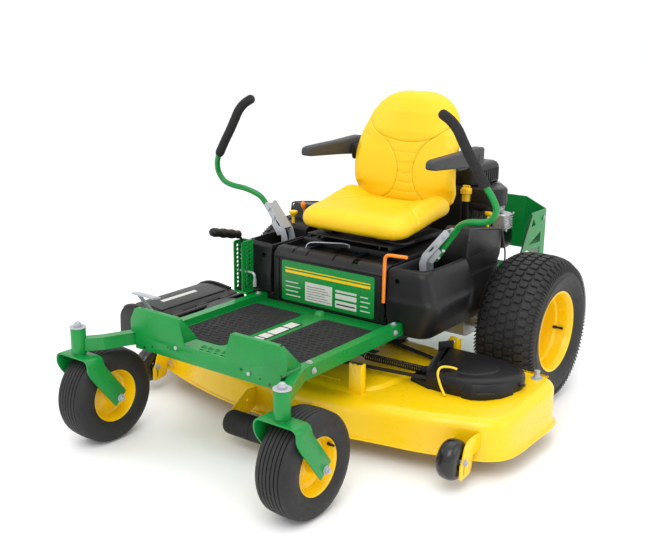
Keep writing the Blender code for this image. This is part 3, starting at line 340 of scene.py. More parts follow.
def smooth(points, steps=4, closed=False):
    """More points on a smooth curve through the given ones."""
    points = [Vector(point) for point in points]
    if closed:
        padded = [points[-1]] + points + [points[0], points[1]]
    else:
        padded = [2 * points[0] - points[1]] + points + [2 * points[-1] - points[-2]]
    made = []
    for a, b, c, d in zip(padded, padded[1:], padded[2:], padded[3:]):
        for step in range(steps):
            t = step / steps
            made.append(0.5 * (2 * b + (c - a) * t + (2 * a - 5 * b + 4 * c - d) * t * t
                               + (3 * b - a - 3 * c + d) * t ** 3))
    return made if closed else made + [points[-1]]


def tube(points, radius, sides=20, closed=False):
    """A round bar along a path; `radius` may be one value or one for each point."""
    points = [Vector(point) for point in points]
    radii = radius if isinstance(radius, list) else [radius] * len(points)
    last = len(points) - 1
    normal = None
    loops = []
    for i, point in enumerate(points):
        before = points[(i - 1) % len(points)] if closed else points[max(i - 1, 0)]
        after = points[(i + 1) % len(points)] if closed else points[min(i + 1, last)]
        along = (after - before).normalized()
        if normal is None:
            normal = along.cross(Vector((0, 0, 1)) if abs(along.z) < 0.8 else Vector((1, 0, 0)))
        normal = (normal - along * normal.dot(along)).normalized()
        other = along.cross(normal)
        loops.append([point + radii[i] * (normal * math.cos(math.tau * k / sides)
                                          + other * math.sin(math.tau * k / sides)) for k in range(sides)])
    return loft(loops, closed)


def rounded(x0, x1, y0, y1, radius, steps=6):
    """A rectangle's outline with round corners."""
    outline = []
    for x, y, quarter in ((x1, y1, 0), (x0, y1, 1), (x0, y0, 2), (x1, y0, 3)):
        cx = x - math.copysign(radius, x - (x0 + x1) / 2)
        cy = y - math.copysign(radius, y - (y0 + y1) / 2)
        for i in range(steps + 1):
            turn = math.pi / 2 * (quarter + i / steps)
            outline.append((cx + radius * math.cos(turn), cy + radius * math.sin(turn)))
    return outline


def inset(outline, distance):
    """The outline moved inwards by a distance."""
    area = sum(a[0] * b[1] - b[0] * a[1] for a, b in zip(outline, outline[1:] + outline[:1]))
    turn = 1.0 if area > 0 else -1.0
    made = []
    for i, point in enumerate(outline):
        here = Vector(point)
        first = (here - Vector(outline[i - 1])).normalized()
        second = (Vector(outline[(i + 1) % len(outline)]) - here).normalized()
        normal = Vector((-(first.y + second.y), first.x + second.x)).normalized() * turn
        spread = max(normal.dot(Vector((-first.y, first.x)) * turn), 0.4)
        made.append(tuple(here + normal * distance / spread))
    return made


def mirror_x(points, side):
    return [(side * point[0], *point[1:]) for point in points]


def raise_to(outline, height):
    return [(point[0], point[1], height) for point in outline]


def boolean(base, tool, operation):
    modifier = base.modifiers.new(operation.lower(), "BOOLEAN")
    modifier.object = tool
    modifier.operation = operation
    modifier.solver = "EXACT"
    apply_modifiers(base)
    bpy.data.objects.remove(tool)
    return base


def cut(base, *tools):
    for tool in tools:
        base = boolean(base, tool, "DIFFERENCE")
    return base


def fuse(base, *tools):
    for tool in tools:
        base = boolean(base, tool, "UNION")
    return base


def join(*shapes):
    """Several bodies in one mesh, left as they are."""
    shape = bmesh.new()
    for item in shapes:
        shape.from_mesh(item.data)
        bpy.data.objects.remove(item)
    return from_bmesh(shape, heal=False)


def apply_modifiers(item):
    graph = bpy.context.evaluated_depsgraph_get()
    mesh = bpy.data.meshes.new_from_object(item.evaluated_get(graph))
    item.modifiers.clear()
    item.data = mesh
    return item


def soften(item, width, segments=2, angle=30):
    """Rounds the sharp edges."""
    shape = bmesh.new()
    shape.from_mesh(item.data)
    bmesh.ops.dissolve_limit(shape, angle_limit=0.002, verts=shape.verts, edges=shape.edges)
    limit = math.radians(angle)
    sharp = [edge for edge in shape.edges if len(edge.link_faces) == 2 and edge.calc_face_angle(0.0) > limit]
    bmesh.ops.bevel(shape, geom=sharp, offset=width, segments=segments, profile=0.5, affect="EDGES",
                    clamp_overlap=True)
    shape.to_mesh(item.data)
    shape.free()
    return item


def subdivide(item, levels):
    modifier = item.modifiers.new("subdivision", "SUBSURF")
    modifier.levels = levels
    modifier.render_levels = levels
    return apply_modifiers(item)


def turn_about(item, axis, centre, angle):
    matrix = Matrix.Translation(centre) @ Matrix.Rotation(angle, 4, axis) @ Matrix.Translation(-Vector(centre))
    item.data.transform(matrix)
    return item


def move(item, offset):
    item.data.transform(Matrix.Translation(offset))
    return item


def add_piece(item, name, body, material, angle=35, stands_for=()):
    """Names a finished shape, moves it to the row frame and lets it ride on a body."""
    item.name = name
    item.data.name = name
    item.data.materials.clear()
    item.data.materials.append(MATERIALS[material])
    item.data.transform(Matrix.Translation(SHIFT))
    item.data.shade_smooth()
    item.data.set_sharp_from_angle(angle=math.radians(angle))
    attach(item, body)
    if stands_for:
        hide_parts(*stands_for)
    return item


def hex_bolt(head, radius, height, washer=0.0, domed=False):
    """A hexagon head on a washer, standing on the XY plane and pointing up."""
    parts = []
    thick = 0.0016 if washer else 0.0
    if washer:
        parts.append(turned([(0.0, 0.0), (washer * 0.96, 0.0), (washer, thick * 0.3), (washer, thick * 0.8),
                             (washer * 0.95, thick), (0.0, thick)], "z", (0, 0), 32))
    corner = radius * 1.04
    nut = loft([raise_to(circle((0, 0), corner * size, 6), thick + height * level)
                for size, level in ((0.97, 0.0), (1.0, 0.10), (1.0, 0.80), (0.90, 1.0))])
    parts.append(nut)
    if domed:
        top = thick + height
        parts.append(turned([(radius * 0.72, top - 0.0005), (radius * 0.66, top + height * 0.30),
                             (radius * 0.42, top + height * 0.58), (0.0, top + height * 0.68)], "z", (0, 0),
                             24))
    elif head == "stud":
        top = thick + height
        parts.append(turned([(radius * 0.52, top - 0.0005), (radius * 0.52, top + height * 0.5),
                             (radius * 0.42, top + height * 0.62), (0.0, top + height * 0.62)], "z", (0, 0),
                             20))
    return join(*parts)


def bolts(name, body, places, radius=0.0075, height=0.0055, washer=0.0115, head="hex", domed=False,
          material="zinc_steel"):
    """Fasteners as one piece: each place is (point, direction)."""
    parts = []
    for point, direction in places:
        item = hex_bolt(head, radius, height, washer, domed)
        turn = Vector((0, 0, 1)).rotation_difference(Vector(direction)).to_matrix().to_4x4()
        item.data.transform(Matrix.Translation(Vector(point)) @ turn)
        parts.append(item)
    return add_piece(join(*parts), name, body, material)


# Wheels -------------------------------------------------------------------------------------------------

def ribbed_tyre(x, axle, radius, half, bead, grooves, depth, steps):
    """A tyre with round grooves in the tread and round-shouldered walls."""
    profile = [(bead, half * 0.60), (bead, half * 0.80), (bead + 0.006, half * 0.90),
               (bead + 0.009, half * 0.905),
               (bead + 0.012, half * 0.93), (bead + 0.022, half * 0.985), (bead + 0.032, half),
               (bead + 0.036, half * 1.0), (bead + 0.044, half * 0.985), (radius - 0.020, half * 0.945),
               (radius - 0.011, half * 0.87), (radius - 0.0055, half * 0.77), (radius - 0.0028, half * 0.69)]
    tread = half * 0.62

    def crown(along):
        return radius - 0.0024 * (along / tread) ** 2

    lip = 0.0009
    width = 0.0032
    walk = []
    for centre in sorted(grooves, reverse=True):
        for step, drop in ((width / 2 + lip, 0.0), (width / 2, lip), (width / 2 - lip * 0.6, depth),
                           (-width / 2 + lip * 0.6, depth), (-width / 2, lip), (-width / 2 - lip, 0.0)):
            walk.append((crown(centre + step) - drop, centre + step))
    other = [(r, -w) for r, w in profile[::-1]]
    return ring([(r, x + w) for r, w in profile + walk + other], "x", axle, steps)


def pressed_rim(x, axle, side, profile, steps=96):
    """A pressed steel rim: the profile runs over its surface from one bead to the other and back inside."""
    return ring([(r, x + side * w) for r, w in profile], "x", axle, steps)


def make_caster(side):
    x = side * CASTER_X
    axle = (CASTER_Y, CASTER_R)
    wheel = side_name("caster_wheel", side)
    tyre = ribbed_tyre(x, axle, CASTER_R, CASTER_HALF, 0.0885,
                       (-0.0340, -0.0205, -0.0070, 0.0070, 0.0205, 0.0340),
                       0.0050, 128)
    add_piece(tyre, side_name("caster_ribbed_tyre", side), wheel, "tyre_rubber",
              stands_for=(side_name("caster_tyre", side),))
    skin = [(0.0915, 0.0520), (0.0955, 0.0560), (0.0975, 0.0550), (0.0980, 0.0525), (0.0960, 0.0510),
            (0.0895, 0.0480),
            (0.0880, 0.0440)]
    barrel = skin + [(0.0872, 0.0), *[(r, -w) for r, w in skin[::-1]]]
    inner = [(0.0880, -0.0530), (0.0858, -0.0500), (0.0840, -0.0420), (0.0800, -0.0340), (0.0785, -0.0240),
             (0.0760, -0.0140), (0.0700, -0.0100), (0.0560, -0.0090), (0.0440, -0.0150), (0.0290, -0.0190),
             (0.0240, -0.0220), (0.0230, -0.0560), (0.0205, -0.0600), (0.0112, -0.0600)]
    inner += [(0.0112, 0.0600), (0.0205, 0.0600), (0.0230, 0.0560), (0.0240, 0.0220), (0.0290, 0.0190),
              (0.0440, 0.0150),
              (0.0560, 0.0090), (0.0700, 0.0100), (0.0760, 0.0140), (0.0785, 0.0240), (0.0800, 0.0340),
              (0.0840, 0.0420), (0.0858, 0.0500), (0.0880, 0.0530)]
    rim = pressed_rim(x, axle, 1, barrel + inner)
    add_piece(rim, side_name("caster_pressed_rim", side), wheel, "yellow_paint", 40,
              stands_for=(side_name("caster_rim", side),))
    caps = []
    for way in SIDES:
        caps.append(ring([(0.0114, x + way * 0.0602), (0.0200, x + way * 0.0602), (0.0205, x + way * 0.0625),
                          (0.0180, x + way * 0.0640), (0.0114, x + way * 0.0640)], "x", axle, 40))
        caps.append(ring([(0.0100, x + way * 0.0642), (0.0135, x + way * 0.0642), (0.0135, x + way * 0.0735),
                          (0.0100, x + way * 0.0735)], "x", axle, 40))
    add_piece(join(*caps), side_name("caster_hub_caps", side), wheel, "black_plastic")
    turn = math.radians(36)
    stem_at = Vector((x + side * 0.038, axle[0] + 0.078 * math.cos(turn), axle[1] + 0.078 * math.sin(turn)))
    stem = tube([stem_at, stem_at + Vector((side * 0.012, 0, 0)), stem_at + Vector((side * 0.016, 0, 0)),
                 stem_at + Vector((side * 0.024, 0, 0))], [0.0048, 0.0046, 0.0040, 0.0038], 16)
    add_piece(stem, side_name("caster_valve", side), wheel, "rubber")


def leg_station(x, out, front, rear, thick=0.003):
    """One slice of a bent plate: its front and rear corners, on the outside and on the inside of the bend."""
    offset = Vector((out[0], 0.0, out[1])) * thick
    first, second = Vector((x, *front)), Vector((x, *rear))
    return [first + offset, second + offset, second - offset, first - offset]


def make_fork(side):
    x = side * CASTER_X
    half, bend, mid = 0.077, 0.022, 0.330
    legs = ((-1.3785, 0.296, -1.3110, 0.306), (-1.3740, 0.282, -1.3060, 0.296),
            (-1.3640, 0.264, -1.2960, 0.282),
            (-1.3460, 0.240, -1.2800, 0.262), (-1.3190, 0.206, -1.2570, 0.232),
            (-1.2900, 0.168, -1.2360, 0.204),
            (-1.2680, 0.140, -1.2210, 0.183))
    arm = []
    for front_y, front_z, rear_y, rear_z in legs[::-1]:
        arm.append(leg_station(half, (1.0, 0.0), (front_y, front_z), (rear_y, rear_z)))
    for i in range(7):
        turn = math.pi / 2 * (1.0 - i / 6)
        px = half - bend + bend * math.sin(turn)
        pz = mid - bend + bend * math.cos(turn)
        lean = 0.004 * math.sin(turn)
        arm.append(leg_station(px, (math.sin(turn), math.cos(turn)), (-1.3785, pz), (-1.3150 + lean, pz)))
    other = [[Vector((-point.x, point.y, point.z)) for point in loop] for loop in arm[::-1]]
    plate = loft([[Vector((x + point.x, point.y, point.z)) for point in loop] for loop in arm + other])
    plate = soften(plate, 0.0011, 2, 50)
    weld = turned([(0.0240, 0.3325), (0.0225, 0.3345), (0.0205, 0.3362)], "z", (x, KINGPIN_Y), 40)
    add_piece(join(plate, weld), side_name("caster_bent_fork", side), side_name("caster", side),
              "green_paint", 40,
              stands_for=(side_name("caster_fork", side),))
    pin = turned([(0.0, 0.4240), (0.0265, 0.4240), (0.0275, 0.4248), (0.0275, 0.4266), (0.0265, 0.4276),
                  (0.0, 0.4276)],
                 "z", (x, KINGPIN_Y), 48)
    nut = hex_bolt("stud", 0.0138, 0.0105, domed=True)
    move(nut, (x, KINGPIN_Y, 0.4276))
    collar = turned([(0.0, 0.3335), (0.0215, 0.3335), (0.0215, 0.3372), (0.0, 0.3372)], "z", (x, KINGPIN_Y), 32)
    add_piece(join(pin, nut, collar), side_name("kingpin_nut", side), side_name("caster", side), "zinc_steel")
    ends = []
    for way in SIDES:
        ends.append(((x + way * 0.0802, *(CASTER_Y, CASTER_R)), (way, 0, 0)))
    bolts(side_name("caster_axle_nuts", side), side_name("caster", side), ends, 0.0112, 0.0085, 0.0140, "stud")
    shaft = rod("x", (CASTER_Y, CASTER_R), 0.0095, x - 0.0800, x + 0.0800, 24)
    add_piece(shaft, side_name("caster_axle", side), side_name("caster", side), "zinc_steel")


def make_kingpin_tube(side):
    x = side * CASTER_X
    sleeve = ring([(0.0246, 0.3370), (0.0252, 0.3385), (0.0252, 0.4225), (0.0246, 0.4240), (0.0150, 0.4240),
                   (0.0150, 0.3370)], "z", (x, KINGPIN_Y), 56)
    add_piece(sleeve, side_name("kingpin_tube", side), "chassis", "green_paint", 40)


def tread_block(centre, across, along, radius_at, depth, axle, x):
    """One hexagon block with notched corners standing on a wheel's tread."""
    angle, offset = centre
    outline = []
    for u, v in ((0.50, 1.0), (0.20, 0.86), (-0.20, 0.86), (-0.50, 1.0), (-0.98, 0.46), (-0.88, 0.12),
                 (-1.0, -0.12),
                 (-0.90, -0.46), (-0.50, -1.0), (-0.20, -0.86), (0.20, -0.86), (0.50, -1.0), (0.98, -0.46),
                 (0.88, -0.12), (1.0, 0.12), (0.90, 0.46)):
        outline.append((u * across, v * along))
    loops = []
    for size, lift in ((1.0, -depth), (0.97, -0.0011), (0.89, 0.0)):
        loop = []
        for u, v in outline:
            side_offset = offset + u * size
            r = radius_at(side_offset) + lift
            turn = angle + v * size / radius_at(0.0)
            loop.append((x + side_offset, axle[0] + r * math.cos(turn), axle[1] + r * math.sin(turn)))
        loops.append(loop)
    return loops


def make_turf_tyre(side):
    x = side * DRIVE_X
    axle = (0.0, DRIVE_R)
    depth = 0.0075
    points = ((0.0, 0.2808), (0.040, 0.2800), (0.062, 0.2772), (0.080, 0.2722), (0.094, 0.2640),
              (0.104, 0.2540),
              (0.111, 0.2400), (0.1150, 0.2230), (0.1157, 0.2060), (0.1130, 0.1890), (0.1060, 0.1720),
              (0.0990, 0.1600))

    def radius_at(offset):
        reach = abs(offset)
        for (a, ra), (b, rb) in zip(points, points[1:]):
            if reach <= b:
                return ra + (rb - ra) * (reach - a) / (b - a)
        return points[-1][1]

    outer = []
    for offset, radius in points[5::-1]:
        outer.append((radius - depth, offset * 0.985))
    wall = [(radius, offset) for offset, radius in points[:5:-1]]
    wall = [(0.1465, 0.0890), (0.1500, 0.0985), (0.1560, 0.0992)] + wall
    wall.insert(6, (0.2085, 0.1168))
    half_profile = wall + outer
    profile = half_profile + [(r, -w) for r, w in half_profile[-2::-1]]
    carcass = ring([(r, x + w) for r, w in profile], "x", axle, 120)
    shape = bmesh.new()
    count = 54
    pitch = math.tau / count
    for column in range(-2, 3):
        offset = column * 0.0370
        for i in range(count):
            angle = pitch * (i + (0.5 if column % 2 else 0.0))
            add_loops(shape, tread_block((angle, offset), 0.0160, 0.0142, radius_at, depth, axle, x))
    for way in SIDES:
        for i in range(count):
            angle = pitch * (i + 0.5)
            loops = []
            for size, lift in ((1.0, -depth), (0.94, -0.0010), (0.84, 0.0)):
                loop = []
                for u, v in ((-0.0085, -0.0085), (0.0015, -0.0105), (0.0110, -0.0070), (0.0110, 0.0070),
                             (0.0015, 0.0105),
                             (-0.0085, 0.0085)):
                    along = 0.0945 + u * size
                    r = radius_at(along) + lift
                    turn = angle + v * size / DRIVE_R
                    loop.append((x + way * along, axle[0] + r * math.cos(turn), axle[1] + r * math.sin(turn)))
                loops.append(loop)
            add_loops(shape, loops)
            for j in range(2):
                turn = angle + pitch * (0.5 * j - 0.25)
                loops = []
                for size, lift in ((1.0, -0.001), (0.7, 0.0018)):
                    loop = []
                    for r, v in ((0.252, -0.0028), (0.252, 0.0028), (0.228, 0.0034), (0.228, -0.0034)):
                        wide = next(b for b, rb in points if rb <= r) - 0.0004 + lift
                        a = turn + v * size / DRIVE_R
                        loop.append((x + way * wide, axle[0] + r * math.cos(a), axle[1] + r * math.sin(a)))
                    loops.append(loop)
                add_loops(shape, loops)
    blocks = from_bmesh(shape)
    add_piece(join(carcass, blocks), side_name("turf_tyre", side), side_name("drive_wheel", side),
              "tyre_rubber", 40,
              stands_for=(side_name("drive_tyre", side),))


def make_drive_rim(side):
    x = side * DRIVE_X
    axle = (0.0, DRIVE_R)
    wheel = side_name("drive_wheel", side)
    half = [(0.1490, 0.0985), (0.1510, 0.1010), (0.1535, 0.1012), (0.1545, 0.0990), (0.1530, 0.0965),
            (0.1465, 0.0930),
            (0.1455, 0.0800), (0.1450, 0.0400)]
    outer = half + [(r, -w) for r, w in half[::-1]]
    inside = [(0.1462, -0.0985), (0.1435, -0.0930), (0.1405, -0.0780), (0.1330, -0.0720), (0.1310, -0.0300),
              (0.1200, -0.0240), (0.0800, -0.0160), (0.0620, -0.0140), (0.0, -0.0140)]
    near = [(0.0, -0.0060), (0.0620, -0.0060), (0.0700, -0.0100), (0.1060, -0.0140), (0.1180, -0.0090),
            (0.1235, 0.0060), (0.1245, 0.0340), (0.1270, 0.0400), (0.1335, 0.0440), (0.1355, 0.0500),
            (0.1365, 0.0760),
            (0.1395, 0.0860), (0.1440, 0.0930), (0.1462, 0.0985)]
    profile = outer + [(max(r, 0.0004), w) for r, w in inside + near]
    rim = pressed_rim(x, axle, side, profile, 112)
    add_piece(rim, side_name("drive_pressed_rim", side), wheel, "yellow_paint", 35,
              stands_for=(side_name("drive_rim", side),))
    hub = turned([(r, x + side * w) for r, w in ((0.0, -0.0060), (0.0400, -0.0060), (0.0400, 0.0020),
                                                 (0.0370, 0.0050),
                                                 (0.0240, 0.0070), (0.0240, 0.0200), (0.0210, 0.0240),
                                                 (0.0, 0.0250))],
                 "x", axle, 48)
    shaft = turned([(r, x + side * w) for r, w in ((0.0, -0.0140), (0.0300, -0.0140), (0.0300, -0.0780),
                                                   (0.0160, -0.0820), (0.0160, -0.2300), (0.0, -0.2300))],
                   "x", axle, 40)
    add_piece(join(hub, shaft), side_name("drive_hub", side), wheel, "black_steel")
    nuts = []
    for i in range(4):
        turn = math.radians(45 + 90 * i)
        nuts.append(((x - side * 0.0060, axle[0] + 0.0508 * math.cos(turn),
                      axle[1] + 0.0508 * math.sin(turn)), (side, 0, 0)))
    bolts(side_name("wheel_nuts", side), wheel, nuts, 0.0098, 0.0110, 0.0125, "stud")
    turn = math.radians(-12)
    for r, low, high in ((0.1290, 0.0400, 0.0720),):
        at = Vector((x + side * low, axle[0] + r * math.cos(turn), axle[1] + r * math.sin(turn)))
        reach = Vector((side * (high - low), 0, 0))
        stem = tube([at - reach * 0.2, at, at + reach * 0.18, at + reach * 0.24, at + reach * 0.62,
                     at + reach * 0.66,
                     at + reach], [0.0075, 0.0070, 0.0050, 0.0042, 0.0040, 0.0048, 0.0046], 18)
        add_piece(stem, side_name("drive_valve", side), wheel, "rubber")


# Seat ---------------------------------------------------------------------------------------------------

def resample(outline, step):
    """The outline with extra points along its long edges."""
    made = []
    for a, b in zip(outline, outline[1:] + outline[:1]):
        count = max(1, math.ceil(math.dist(a, b) / step))
        made += [tuple(Vector(a).lerp(Vector(b), i / count)) for i in range(count)]
    return made


def ramp_up(value, low, high):
    share = min(max((value - low) / (high - low), 0.0), 1.0)
    return share * share * (3.0 - 2.0 * share)


def bowed_plan(half, front, rear, bow, corner, rear_corner):
    """A seat's plan at one height, with the middle of the front and rear edges standing off the sides."""
    middle = (front + rear) / 2
    made = []
    outline = rounded(-half, half, front, rear, rear_corner, 8)[:18] + rounded(-half, half, front, rear,
                                                                               corner, 8)[18:]
    for x, y in resample(outline, 0.016):
        push = bow[0] if y < middle else bow[1]
        made.append((x, y + push * (1.0 - (x / half) ** 2)))
    return made


def even_points(loop, count):
    """The same closed line with points at equal steps, starting where it crosses the middle at the front."""
    points = [Vector(point) for point in loop]
    start = min(range(len(points)), key=lambda i: (points[i].y > sum(p.y for p in points) / len(points),
                                                    abs(points[i].x)))
    points = points[start:] + points[:start] + [points[start]]
    reach = [0.0]
    for a, b in zip(points, points[1:]):
        reach.append(reach[-1] + (b - a).length)
    made = []
    index = 0
    for i in range(count):
        target = reach[-1] * i / count
        while reach[index + 1] < target:
            index += 1
        share = (target - reach[index]) / max(reach[index + 1] - reach[index], 1e-9)
        made.append(points[index].lerp(points[index + 1], share))
    return made


def puff(item, voxel, pressure, cap):
    """Remeshes a plain form and lets cloth under air pressure swell it by no more than the cap."""
    remesh = item.modifiers.new("remesh", "REMESH")
    remesh.mode = "VOXEL"
    remesh.voxel_size = voxel
    apply_modifiers(item)
    start = [vertex.co.copy() for vertex in item.data.vertices]
    cloth = item.modifiers.new("cloth", "CLOTH")
    cloth.settings.quality = 5
    cloth.settings.mass = 0.3
    cloth.settings.tension_stiffness = 12.0
    cloth.settings.bending_stiffness = 1.5
    cloth.settings.use_pressure = True
    cloth.settings.uniform_pressure_force = pressure
    cloth.settings.effector_weights.gravity = 0.0
    cloth.point_cache.frame_start = 1
    cloth.point_cache.frame_end = 20
    scene = bpy.context.scene
    for step in range(1, 21):
        scene.frame_set(step)
    graph = bpy.context.evaluated_depsgraph_get()
    swollen = item.evaluated_get(graph).to_mesh()
    for vertex, after, before in zip(item.data.vertices, swollen.vertices, start):
        push = after.co - before
        if push.length > cap:
            push *= cap / push.length
        vertex.co = before + push
    item.evaluated_get(graph).to_mesh_clear()
    item.modifiers.clear()
    scene.frame_set(1)
    return subdivide(item, 1)


def press_lines(item, paths, axes, facing, width, depth):
    """Presses soft channels into the side of a cushion that faces a direction."""
    count = len(item.data.vertices)
    places, normals = np.empty(count * 3), np.empty(count * 3)
    item.data.vertices.foreach_get("co", places)
    item.data.vertices.foreach_get("normal", normals)
    places, normals = places.reshape(-1, 3), normals.reshape(-1, 3)
    flat = places[:, axes]
    nearest = np.full(count, 1.0)
    for path in paths:
        for a, b in zip(path, path[1:]):
            first, along = np.array(a[:2]), np.array(b[:2]) - np.array(a[:2])
            share = np.clip((flat - first) @ along / max(along @ along, 1e-9), 0.0, 1.0)
            nearest = np.minimum(nearest, np.linalg.norm(flat - first - share[:, None] * along, axis=1))
    drop = depth * np.exp(-(nearest / width) ** 2) * (normals @ np.array(facing) > 0.15)
    item.data.vertices.foreach_set("co", (places - normals * drop[:, None]).ravel())
    item.data.update()
    return item


def on_surface(item, path, axes, facing, lift):
    """A flat path laid on the side of a cushion that faces a direction."""
    made = []
    mesh = item.data
    tree = BVHTree.FromPolygons([v.co[:] for v in mesh.vertices],
                                [tuple(face.vertices) for face in mesh.polygons])
    for point in path:
        origin = Vector((0, 0, 0))
        origin[axes[0]], origin[axes[1]] = point[0], point[1]
        origin += facing * 2.0
        place, normal, _, _ = tree.ray_cast(origin, -facing)
        if place is not None:
            made.append(place + normal * lift)
    return made


def seat_cushion():
    loops = []
    for level, gap in ((0.0, 0.055), (0.02, 0.030), (0.10, 0.012), (0.24, 0.005), (0.45, 0.003), (0.62, 0.005),
                       (0.76, 0.011), (0.87, 0.022), (0.94, 0.036), (0.985, 0.056), (1.0, 0.085)):
        loop = []
        plan = bowed_plan(0.247 - gap, -0.450 + gap, -0.077 - gap * 0.7, (0.0, 0.012), 0.070 - gap * 0.4, 0.030)
        for x, y in even_points(plan, 120):
            back_share = ramp_up(y, -0.44, -0.10)
            side_share = ramp_up(abs(x), 0.10, 0.225)
            low = 0.634 + 0.046 * min(max((y + 0.42) / 0.30, 0.0), 1.0)
            high = 0.711 + 0.050 * back_share * (0.35 + 0.65 * side_share)
            loop.append((x, y, low + (high - low) * level))
        loops.append(loop)
    item = puff(loft(loops), 0.006, 4.0, 0.006)
    facing_up = [vertex.normal.z for vertex in item.data.vertices]
    for vertex, up in zip(item.data.vertices, facing_up):
        if up > 0.1:
            hollow = math.exp(-(vertex.co.x / 0.125) ** 4) * ramp_up(vertex.co.y, -0.40, -0.25)
            vertex.co.z -= 0.013 * hollow * up
    return item


def seat_back():
    loops = []
    sections = ((0.690, 0.192, -0.054, -0.030, 0.010, 0.008), (0.716, 0.222, -0.060, -0.028, 0.014, 0.012),
                (0.738, 0.2285, -0.062, -0.029, 0.016, 0.013), (0.752, 0.2320, -0.067, -0.030, 0.018, 0.018),
                (0.770, 0.2355, -0.080, -0.033, 0.022, 0.031), (0.800, 0.2370, -0.086, -0.036, 0.026, 0.038),
                (0.840, 0.2375, -0.086, -0.037, 0.026, 0.039), (0.890, 0.2360, -0.076, -0.025, 0.026, 0.030),
                (0.935, 0.2320, -0.059, -0.010, 0.026, 0.016), (0.980, 0.2220, -0.040, 0.010, 0.026, -0.004),
                (1.020, 0.2105, -0.017, 0.032, 0.025, -0.020), (1.055, 0.1930, -0.003, 0.048, 0.024, -0.030),
                (1.085, 0.1660, 0.010, 0.058, 0.022, -0.032), (1.108, 0.1320, 0.018, 0.064, 0.020, -0.028),
                (1.122, 0.0980, 0.026, 0.064, 0.016, -0.018), (1.129, 0.0600, 0.036, 0.060, 0.010, -0.008))
    for height, half, front, rear, corner, hollow in sections:
        loops.append(raise_to(even_points(bowed_plan(half, front, rear, (hollow, 0.028), corner, corner),
                                          120), height))
    return puff(loft(loops), 0.006, 4.0, 0.006)


HEAD_SEAM = ((-0.188, 1.012), (-0.160, 0.992), (-0.134, 0.970), (-0.090, 0.953), (-0.045, 0.944), (0.0, 0.941),
             (0.045, 0.944), (0.090, 0.953), (0.134, 0.970), (0.160, 0.992), (0.188, 1.012))
SIDE_SEAM = ((-0.134, 0.970), (-0.098, 0.948), (-0.066, 0.914), (-0.043, 0.872), (-0.034, 0.828),
             (-0.040, 0.786),
             (-0.055, 0.751), (-0.078, 0.726), (-0.100, 0.712))
STITCH_ROWS = ((0.903, 0.054), (0.861, 0.039), (0.822, 0.030), (0.784, 0.034), (0.747, 0.052))


def make_seat():
    forward, upward = Vector((0, -1, 0)), Vector((0, 0, 1))
    back = seat_back()
    seams = [[Vector(point) for point in HEAD_SEAM]]
    for side in SIDES:
        seams.append([Vector((-side * x, z)) for x, z in SIDE_SEAM])
    seams = [[Vector(point[:2]) for point in smooth([(p.x, p.y, 0) for p in seam], 4)] for seam in seams]
    rows = []
    for z, half in STITCH_ROWS:
        rows.append([Vector((half * share, z - 0.003 * (1.0 - share * share))) for share in
                     [i / 10 - 1.0 for i in range(21)]])
    press_lines(back, seams, (0, 2), forward, 0.0042, 0.0030)
    press_lines(back, rows, (0, 2), forward, 0.0050, 0.0016)
    bpy.context.view_layer.update()
    threads = []
    for seam in seams:
        threads.append(tube(on_surface(back, seam, (0, 2), forward, -0.0002), 0.0009, 8))
    for row in rows:
        line = on_surface(back, row, (0, 2), forward, 0.0001)
        for i in range(0, len(line) - 1, 2):
            threads.append(tube([line[i], line[i].lerp(line[i + 1], 0.5), line[i + 1]], 0.0008, 6))
    cushion = seat_cushion()
    crease = [[Vector((side * x, y)) for x, y in ((0.236, -0.330), (0.190, -0.300), (0.150, -0.262),
                                                  (0.118, -0.215),
                                                  (0.104, -0.160), (0.100, -0.115))] for side in SIDES]
    crease = [[Vector(point[:2]) for point in smooth([(p.x, p.y, 0) for p in seam], 4)] for seam in crease]
    press_lines(cushion, crease, (0, 1), upward, 0.0075, 0.0030)
    bpy.context.view_layer.update()
    for seam in crease:
        threads.append(tube(on_surface(cushion, seam, (0, 1), upward, -0.0004), 0.0008, 8))
    roll = smooth([(-0.196, -0.062, 0.708), (-0.150, -0.066, 0.700), (0.0, -0.068, 0.695),
                   (0.150, -0.066, 0.700),
                   (0.196, -0.062, 0.708)], 5)
    add_piece(tube(roll, 0.0165, 20), "seat_crease_roll", "seat", "yellow_vinyl", 60)
    for item, name, node, fill in ((back, "seat_back_pad", "seat_back", 0.9),
                                   (cushion, "seat_cushion_pad", "seat_cushion", 0.9)):
        add_piece(item, name, "seat", "yellow_vinyl", 60, stands_for=(node,))
    add_piece(join(*threads), "seat_threads", "seat", "seat_thread")


